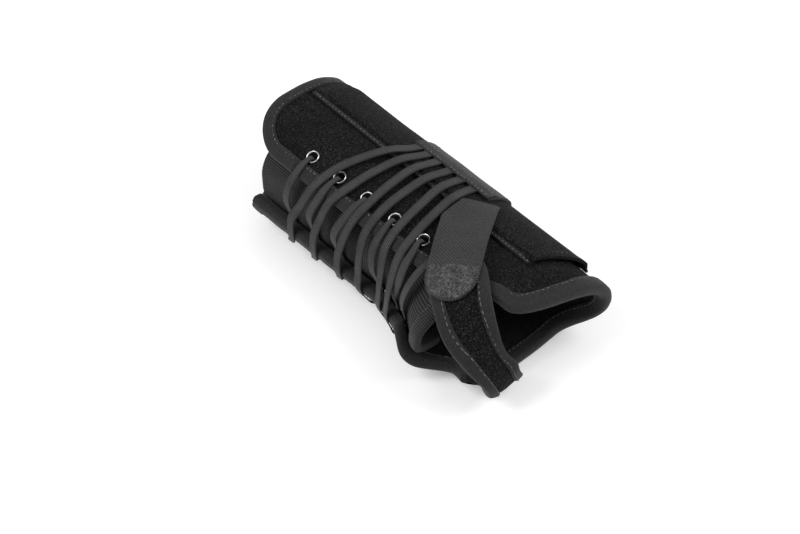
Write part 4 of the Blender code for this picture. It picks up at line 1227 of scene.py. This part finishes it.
def pocket_roof(s):
    """The height of the pocket's inner face over the panel, round at its shoulders."""
    off = np.abs(s - DORSAL_POCKET_S)
    lip = DORSAL_POCKET_HALF - DORSAL_POCKET_SEAM
    share = ease((lip + 0.4 - off) / (lip + 0.4 - DORSAL_POCKET_ROOF))
    return PANEL + GAP + (POCKET_INNER - PANEL - GAP) * share


def pocket_end(off):
    return DORSAL_POCKET_END_X + DORSAL_POCKET_SLANT * 0.5 * (1 - off / DORSAL_POCKET_HALF)


def make_dorsal_pocket():
    off = spread(-DORSAL_POCKET_HALF, DORSAL_POCKET_HALF, 42)
    length = pocket_end(off) - DORSAL_POCKET_START_X
    u = DORSAL_POCKET_START_X + spread(0.0, 1.0, 86)[:, None] * length
    v = np.broadcast_to(DORSAL_POCKET_S + off, u.shape)
    from_end = pocket_end(off) - u
    sewn = 1 - ease((u - DORSAL_POCKET_START_X) / 7.0)
    low = pocket_roof(v) - 0.6 * sewn * (pocket_roof(v) - PANEL - GAP)
    low = low - (GAP + 0.1) * ease((np.abs(off) - DORSAL_POCKET_HALF + 1.2) / 0.8)
    hem = ease((HEM_WIDTH - from_end) / 0.8)
    high = low + POCKET_WALL + 0.6 * lumps(u, v + 9.0) + 0.35 * hem
    piece = layer("dorsal_stay_pocket_pile", place, u, v, low, high)
    dress(piece, PILE, "pile", "splint", "dorsal_stay_pocket")
    seam = DORSAL_POCKET_HALF - 0.55
    lap_start = DORSAL_POCKET_START_X + 0.5
    first_stitch = lap_start + 1.0
    for name, side in (("radial", 1), ("ulnar", -1)):
        off = side * (seam + spread(-0.8, 0.75, 5))
        u = lap_start + spread(0.0, 1.0, 90)[:, None] * (pocket_end(off) - first_stitch)
        v = np.broadcast_to(DORSAL_POCKET_S + off, u.shape)
        top = pocket_roof(v) + POCKET_WALL
        lap = layer(f"dorsal_pocket_{name}_lap", place, u, v, top - 0.5, top + 0.12, fold=0.2)
        dress(lap, BINDING, "pile", "splint")
    rows = []
    for name, off in (("radial", seam), ("ulnar", -seam)):
        along = steps(first_stitch, pocket_end(off) - 1.0, 2.0)
        rows.append((name, [(x, DORSAL_POCKET_S + off) for x in along]))
    reach = DORSAL_POCKET_HALF - 3.0
    hem_line = [(pocket_end(w) - HEM_WIDTH + 0.8, DORSAL_POCKET_S + w) for w in spread(-reach, reach, 20)]
    rows.append(("end", hem_line))
    for name, line in rows:
        top = np.array([pocket_roof(s) for _, s in resample(line, 0.5)[0]]) + POCKET_WALL
        row = stitches(f"dorsal_pocket_{name}_stitches", place, line, top + 0.1, *COARSE_STITCH)
        dress(row, THREAD, "pile", "splint")


def palm_underside(x, y):
    """The height of the palmar panel's outer face at places across the palm, in millimetres."""
    around = girth(x)
    faces = place(x, 0.5 * around + spread(-0.2 * around, 0.2 * around, 121), PANEL) / MM
    order = faces[:, 1].argsort()
    return np.interp(y, faces[order, 1], faces[order, 2])


def make_palmar_pocket():
    half, flat, wall = PALMAR_POCKET_HALF, PALMAR_POCKET_FLAT, POCKET_WALL
    rim, throat = half - 2.5, PALMAR_STAY_HALF + 2.0
    y = half * np.sin(spread(-0.5 * math.pi, 0.5 * math.pi, 45))
    stations = steps(PALMAR_POCKET_START_X, PALMAR_POCKET_END_X, 2.5)
    rings = []
    for x in stations:
        seat = palm_underside(x, y) - GAP
        outer = (seat - wall) * (1 - ease((half - np.abs(y)) / (half - flat)))
        inner = wall + (seat - wall) * (1 - ease((rim - np.abs(y)) / (rim - throat)))
        ring = [(x - ORIGIN_X, *point) for point in zip(y, outer)]
        rings.append(ring + [(x - ORIGIN_X, *point) for point in zip(y[::-1], np.minimum(inner, seat)[::-1])])
    across = np.concatenate([y, y[::-1]])
    piece = sweep("palmar_stay_pocket_pile", np.array(rings) * MM, stations, across)
    dress(piece, PILE, "pile", "splint", "palmar_stay_pocket")

    def under_palm(x, y, n):
        heights = np.array([palm_underside(a, b) for a, b in zip(np.ravel(x + 0 * y), np.ravel(y + 0 * x))])
        points = np.stack(np.broadcast_arrays(x - ORIGIN_X, y, np.reshape(heights, np.shape(x + y)) - n), -1)
        return points * MM

    along = steps(PALMAR_POCKET_START_X + 2.0, PALMAR_POCKET_END_X - 2.0, 3.0)
    for name, side in (("radial", -1), ("ulnar", 1)):
        line = [(x, side * (half - 0.9)) for x in along]
        row = stitches(f"palmar_pocket_{name}_stitches", under_palm, line, GAP + wall + 0.15, *PALMAR_STITCH)
        dress(row, THREAD, "pile", "splint")


# Lace tab and closure strap


def tab_low(s):
    """The height of the lace tab's underside, over the pocket and down to the panel."""
    off = np.abs(s - DORSAL_POCKET_S)
    reach = (DORSAL_POCKET_ROOF + 1.5, DORSAL_POCKET_HALF + 3.0)
    return np.maximum(np.interp(off, reach, (POCKET_OUTER, CLOSURE_LOW)) + GAP, CLOSURE_LOW)


def make_lace_tab():
    x = steps(TAB_START_X, TAB_END_X, 1.3)[:, None]
    s = spread(TAB_EDGE_S, CLOSURE_FOLD_S + GAP, 24)
    u, v = np.broadcast_arrays(x, s)
    ripple = 0.1 * np.sin(u / 4.3) * np.sin(v / 6.0 + 0.5)
    tab = layer("lace_tab_webbing", place, u, v, tab_low(v), tab_low(v) + TAB + ripple)
    dress(tab, WEBBING, "webbing", "splint", "lace_tab")

    s = spread(TAB_EDGE_S - HEM_WIDTH, TAB_EDGE_S + HEM_OVERHANG, 9)
    u, v = np.broadcast_arrays(x, s)
    top = tab_low(TAB_EDGE_S) + TAB + 0.12
    bow = 0.12 * np.sin(u / 8.6 * math.pi)
    hem = layer("lace_tab_hem", place, u, v, top, top + HEM + bow, fold=0.3)
    dress(hem, BINDING, "tape", "splint")

    def rows(line, height, name):
        row = stitches(name, place, line, height, *COARSE_STITCH)
        dress(row, THREAD, "webbing", "splint")

    along = steps(TAB_START_X + 1.5, TAB_END_X - 1.5, 2.0)
    rows([(a, TAB_EDGE_S - HEM_WIDTH + 1.0) for a in along], top + HEM, "lace_tab_hem_stitches")
    rows([(a, TAB_EDGE_S + HEM_OVERHANG - 0.8) for a in along], top + HEM, "lace_tab_edge_stitches")
    fold = CLOSURE_FOLD_S + 2.5
    rows([(a, fold) for a in along], float(tab_low(fold)) + TAB, "lace_tab_fold_stitches")
    for name, end in (("proximal", TAB_START_X + 1.8), ("distal", TAB_END_X - 1.8)):
        line = [(end, a) for a in steps(TAB_EDGE_S - HEM_WIDTH - 1.0, CLOSURE_FOLD_S + 2.0, 1.0)]
        height = np.array([tab_low(a) for _, a in resample(line, 0.5)[0]]) + TAB
        rows(line, height, f"lace_tab_{name}_stitches")


def closure_trim(s):
    """How far the closure strap's rounded end draws in from the tab's width."""
    rise = np.clip(1 - (s - CLOSURE_END_S) / CLOSURE_CORNER, 0.0, 1.0)
    return CLOSURE_CORNER * (1 - np.sqrt(1 - rise**2)) + 0.4 * CLOSURE_INSET


def make_closure_strap():
    bend = [CLOSURE_END_S + CLOSURE_CORNER * (1 - math.sin(math.radians(a))) for a in range(8, 82, 8)]
    s = np.array(list(steps(CLOSURE_FOLD_S, CLOSURE_END_S + CLOSURE_CORNER, 1.4)) + bend)
    trim = closure_trim(s)
    u = np.stack([spread(TAB_START_X + a, TAB_END_X - a, 38) for a in trim])
    v = np.broadcast_to(s[:, None], u.shape)
    ripple = 0.1 * np.sin(u / 4.9) * np.sin(v / 5.2)
    strap = layer("closure_strap_webbing", place, u, v, CLOSURE_LOW, CLOSURE_LOW + TAB + ripple)
    dress(strap, WEBBING, "webbing", "closure_strap", "closure_strap")
    near_side = [(TAB_START_X + a + 2.0, b) for a, b in zip(trim, s)][1:-1]
    far_side = [(TAB_END_X - a - 2.0, b) for a, b in zip(trim, s)][1:-1]
    line = near_side + [(a, s[-2] + 0.6) for a in spread(near_side[-1][0], far_side[-1][0], 8)[1:-1]]
    line += far_side[::-1]
    row = stitches("closure_strap_stitches", place, line, CLOSURE_LOW + TAB, *COARSE_STITCH)
    dress(row, THREAD, "webbing", "closure_strap")


# Thumb strap and hook tab


def strap_half(t):
    """Half the thumb strap's width, t along it from its rounded top end."""
    half = STRAP_HALF_TOP + (STRAP_HALF_PALM - STRAP_HALF_TOP) * min(1.0, t / STRAP_NARROWS_AT)
    if t < STRAP_CORNER:
        half -= STRAP_CORNER - math.sqrt(STRAP_CORNER**2 - (STRAP_CORNER - t) ** 2)
    return half


def make_thumb_strap():
    band = Band(STRAP_ROUTE, STRAP_SIDES)
    corner = [STRAP_CORNER * (1 - math.cos(math.radians(a))) for a in range(0, 91, 9)]
    stations = corner + list(steps(STRAP_CORNER, band.length - TAPE, 1.6)[1:])
    t = np.array(stations + [band.length - GAP])
    half = np.array([strap_half(a) for a in t])
    v = half[:, None] * spread(-1.0, 1.0, 22)
    u = np.broadcast_to(t[:, None], v.shape)
    bare = ease((half[:, None] - np.abs(v)) / STRAP_TAPE_WIDTH)
    crown = bare * (0.35 + 0.8 * lumps(u, v))
    piece = layer("thumb_strap_pile", band, u, v, -0.5 * STRAP, 0.5 * STRAP - 0.1 + crown)
    settle(piece, all_round(1 - bare), pressure=1.5, grow=0.01, cap=0.2)
    dress(piece, PILE, "pile", "thumb_strap", "thumb_strap")

    side = [(a, strap_half(a)) for a in stations if a < band.length - STRAP_TAPE_WIDTH]
    top = [(0.0, w) for w in spread(-strap_half(0.0), strap_half(0.0), 4)[1:-1]]
    outline = [(a, -w) for a, w in side[::-1]] + top + side
    gap = GAP + 0.1
    low, high = -0.5 * STRAP, 0.5 * STRAP
    sewn = (STRAP_TAPE_WIDTH, STRAP_TAPE_WIDTH)
    bound = tape(
        "thumb_strap_tape", band, outline, -1, low, high, gap, STRAP_TAPE_WIDTH, ends=sewn, relax=8
    )
    dress(bound, BINDING, "tape", "thumb_strap", "thumb_strap_binding")
    line = inset(outline, -1, STRAP_TAPE_WIDTH - 1.1)[5:-5]
    for name, height in (("outer", high + gap + TAPE), ("inner", low - gap - TAPE)):
        row = stitches(f"thumb_strap_{name}_stitches", band, line, height, *BINDING_STITCH)
        dress(row, THREAD, "tape", "thumb_strap")
    seam = [(band.length - 2.2, w) for w in spread(4.0 - STRAP_HALF_PALM, STRAP_HALF_PALM - 4.0, 9)]
    name = "thumb_strap_end_{}_stitches"
    zigzag(name, band, seam, 0.5 * STRAP, STRAP_END_STITCH, 0.7, "pile", "thumb_strap")


def hook_tab_band():
    """The hook tab's route, from its root over the pocket to its rounded end on the thumb strap."""
    angle = math.radians(HOOK_TAB_HEADING)
    start = POCKET_OUTER + GAP + 0.5 * HOOK_TAB
    end = STRAP_TAPE_TOP + GAP + 0.5 * HOOK_TAB
    route = []
    for t, h in ((0.0, start), (10.0, start), (30.0, end), (40.0, end), (HOOK_TAB_LENGTH, end)):
        route.append((HOOK_TAB_ROOT[0] + t * math.cos(angle), HOOK_TAB_ROOT[1] + t * math.sin(angle), h))
    side = (math.sin(angle), -math.cos(angle), 0.0)
    return Band(route, [side] * len(route))


def hook_tab_sides(t):
    """How far the tab reaches to the left and right at t: a slanted shoulder, then a round end."""
    round_off = max(0.0, (t - HOOK_TAB_LENGTH + HOOK_TAB_HALF) / HOOK_TAB_HALF)
    right = HOOK_TAB_HALF * math.sqrt(1 - round_off**2)
    share = min(1.0, t / HOOK_TAB_SHOULDER)
    return min(right, HOOK_TAB_ROOT_LEFT + (HOOK_TAB_HALF - HOOK_TAB_ROOT_LEFT) * share), right


def make_hook_tab():
    band = hook_tab_band()
    bend = [HOOK_TAB_LENGTH - HOOK_TAB_HALF * (1 - math.sin(math.radians(a))) for a in range(0, 85, 6)]
    straight = list(steps(0.0, HOOK_TAB_LENGTH - HOOK_TAB_HALF, 1.4)[:-1])

    def rows(stations, border, columns):
        made = []
        for t in stations:
            left, right = hook_tab_sides(t)
            made.append([(t, w) for w in spread(border - left, right - border, columns)])
        return grid(made)

    u, v = rows(straight + bend, 0.0, 28)
    ripple = 0.1 * np.sin(u / 5.3 + 0.4) * np.sin(v / 4.4)
    tab = layer("hook_tab_webbing", band, u, v, -0.5 * HOOK_TAB, 0.5 * HOOK_TAB + ripple)
    dress(tab, WEBBING, "webbing", "hook_tab", "hook_tab")

    pressed = [t for t in straight + bend if PRESSED_START < t < HOOK_TAB_LENGTH - 0.6]
    u, v = rows(pressed, 0.8, 30)
    border = ease((u - u[0, 0]) / 1.6)
    crush = 0.12 * np.sin(u * 2.6 + 0.8 * np.sin(v)) * np.sin(v * 2.2 + np.sin(u / 2.0))
    top = 0.5 * HOOK_TAB
    end = layer("hook_tab_pressed_end", band, u, v, top - 0.2, top + 0.3 * border + crush)
    dress(end, PRESSED, "webbing", "hook_tab")


def dress_frame():
    """Finishes for the rigid pieces that stay as they are in the frame."""
    rigid = ((ALUMINIUM, ("dorsal_stay", "palmar_stay")), (HOOKS, ("hook_patch", "closure_hook_patch")))
    for finish, nodes in rigid:
        for node in nodes:
            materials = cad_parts[node].data.materials
            materials.clear()
            materials.append(finish)


# Camera, light and floor


def make_camera():
    """The photograph's view: from the thumb side and above, along the hand towards the elbow."""
    around, above = math.radians(CAMERA_AZIMUTH), math.radians(CAMERA_ELEVATION)
    level = math.cos(above)
    back = np.array([math.sin(around) * level, -math.cos(around) * level, math.sin(above)])
    right = unit(np.cross((0.0, 0.0, 1.0), back))
    up = np.cross(back, right)
    data = bpy.data.cameras.new("camera")
    data.sensor_width, data.lens = SENSOR_WIDTH, LENS
    camera = bpy.data.objects.new("camera", data)
    spot = np.array(CAMERA_TARGET) + back * CAMERA_DISTANCE - right * CAMERA_RIGHT - up * CAMERA_UP
    camera.location = spot
    camera.rotation_euler = Vector(-back).to_track_quat("-Z", "Y").to_euler()
    bpy.context.scene.collection.objects.link(camera)
    bpy.context.scene.camera = camera


def lamp(name, spot, size, power):
    data = bpy.data.lights.new(name, "AREA")
    data.shape = "DISK"
    data.size, data.energy = size, power
    light = bpy.data.objects.new(name, data)
    light.location = spot
    light.rotation_euler = (Vector(LIGHT_TARGET) - Vector(spot)).to_track_quat("-Z", "Y").to_euler()
    bpy.context.scene.collection.objects.link(light)


def seen_directly(tree):
    """1 for rays that reach the eye straight, by reflection or through glass."""
    path = tree.nodes.new("ShaderNodeLightPath")
    total = path.outputs["Is Camera Ray"]
    for ray in ("Is Glossy Ray", "Is Transmission Ray"):
        most = tree.nodes.new("ShaderNodeMath")
        most.operation = "MAXIMUM"
        tree.links.new(total, most.inputs[0])
        tree.links.new(path.outputs[ray], most.inputs[1])
        total = most.outputs[0]
    return total


def make_world():
    """A white backdrop, and an even fill from all round."""
    world = bpy.data.worlds.new("studio")
    bpy.context.scene.world = world
    world.use_nodes = True
    tree = world.node_tree
    backdrop = tree.nodes["Background"]
    backdrop.inputs["Color"].default_value = (1.0, 1.0, 1.0, 1.0)
    strength = tree.nodes.new("ShaderNodeMapRange")
    strength.inputs["To Min"].default_value = FILL_LIGHT
    strength.inputs["To Max"].default_value = 1.0
    tree.links.new(seen_directly(tree), strength.inputs["Value"])
    tree.links.new(strength.outputs[0], backdrop.inputs["Strength"])


def make_floor():
    """A pale floor just under the part, which glows a little to the eye like white paper.

    It can be seen through from below, where the underside is looked at.
    """
    shaper = bmesh.new()
    bmesh.ops.create_grid(shaper, x_segments=1, y_segments=1, size=FLOOR_HALF)
    mesh = bpy.data.meshes.new("floor")
    shaper.to_mesh(mesh)
    shaper.free()
    floor = bpy.data.objects.new("floor", mesh)
    floor.location.z = -0.3 * MM
    bpy.context.scene.collection.objects.link(floor)
    material = bpy.data.materials.new("paper")
    material.use_nodes = True
    tree = material.node_tree
    shader = tree.nodes["Principled BSDF"]
    shader.inputs["Base Color"].default_value = (0.86, 0.86, 0.86, 1.0)
    shader.inputs["Roughness"].default_value = 0.9
    shader.inputs["Specular IOR Level"].default_value = 0.1
    shader.inputs["Emission Color"].default_value = (1.0, 1.0, 1.0, 1.0)
    glow = tree.nodes.new("ShaderNodeMath")
    glow.operation = "MULTIPLY"
    glow.inputs[1].default_value = FLOOR_GLOW
    tree.links.new(seen_directly(tree), glow.inputs[0])
    tree.links.new(glow.outputs[0], shader.inputs["Emission Strength"])
    geometry = tree.nodes.new("ShaderNodeNewGeometry")
    clear = tree.nodes.new("ShaderNodeBsdfTransparent")
    mix = tree.nodes.new("ShaderNodeMixShader")
    tree.links.new(geometry.outputs["Backfacing"], mix.inputs[0])
    tree.links.new(shader.outputs[0], mix.inputs[1])
    tree.links.new(clear.outputs[0], mix.inputs[2])
    tree.links.new(mix.outputs[0], tree.nodes["Material Output"].inputs["Surface"])
    mesh.materials.append(material)


def main():
    make_panels()
    make_bindings()
    make_seams()
    make_tongue()
    make_eyelets()
    make_laces()
    make_dorsal_pocket()
    make_palmar_pocket()
    make_lace_tab()
    make_closure_strap()
    make_thumb_strap()
    make_hook_tab()
    dress_frame()
    make_camera()
    make_world()
    make_floor()
    lamp("key", KEY_SPOT, KEY_SIZE, KEY_LIGHT)
    lamp("rim", RIM_SPOT, RIM_SIZE, RIM_LIGHT)
    bpy.context.scene.view_settings.view_transform = "Standard"


main()
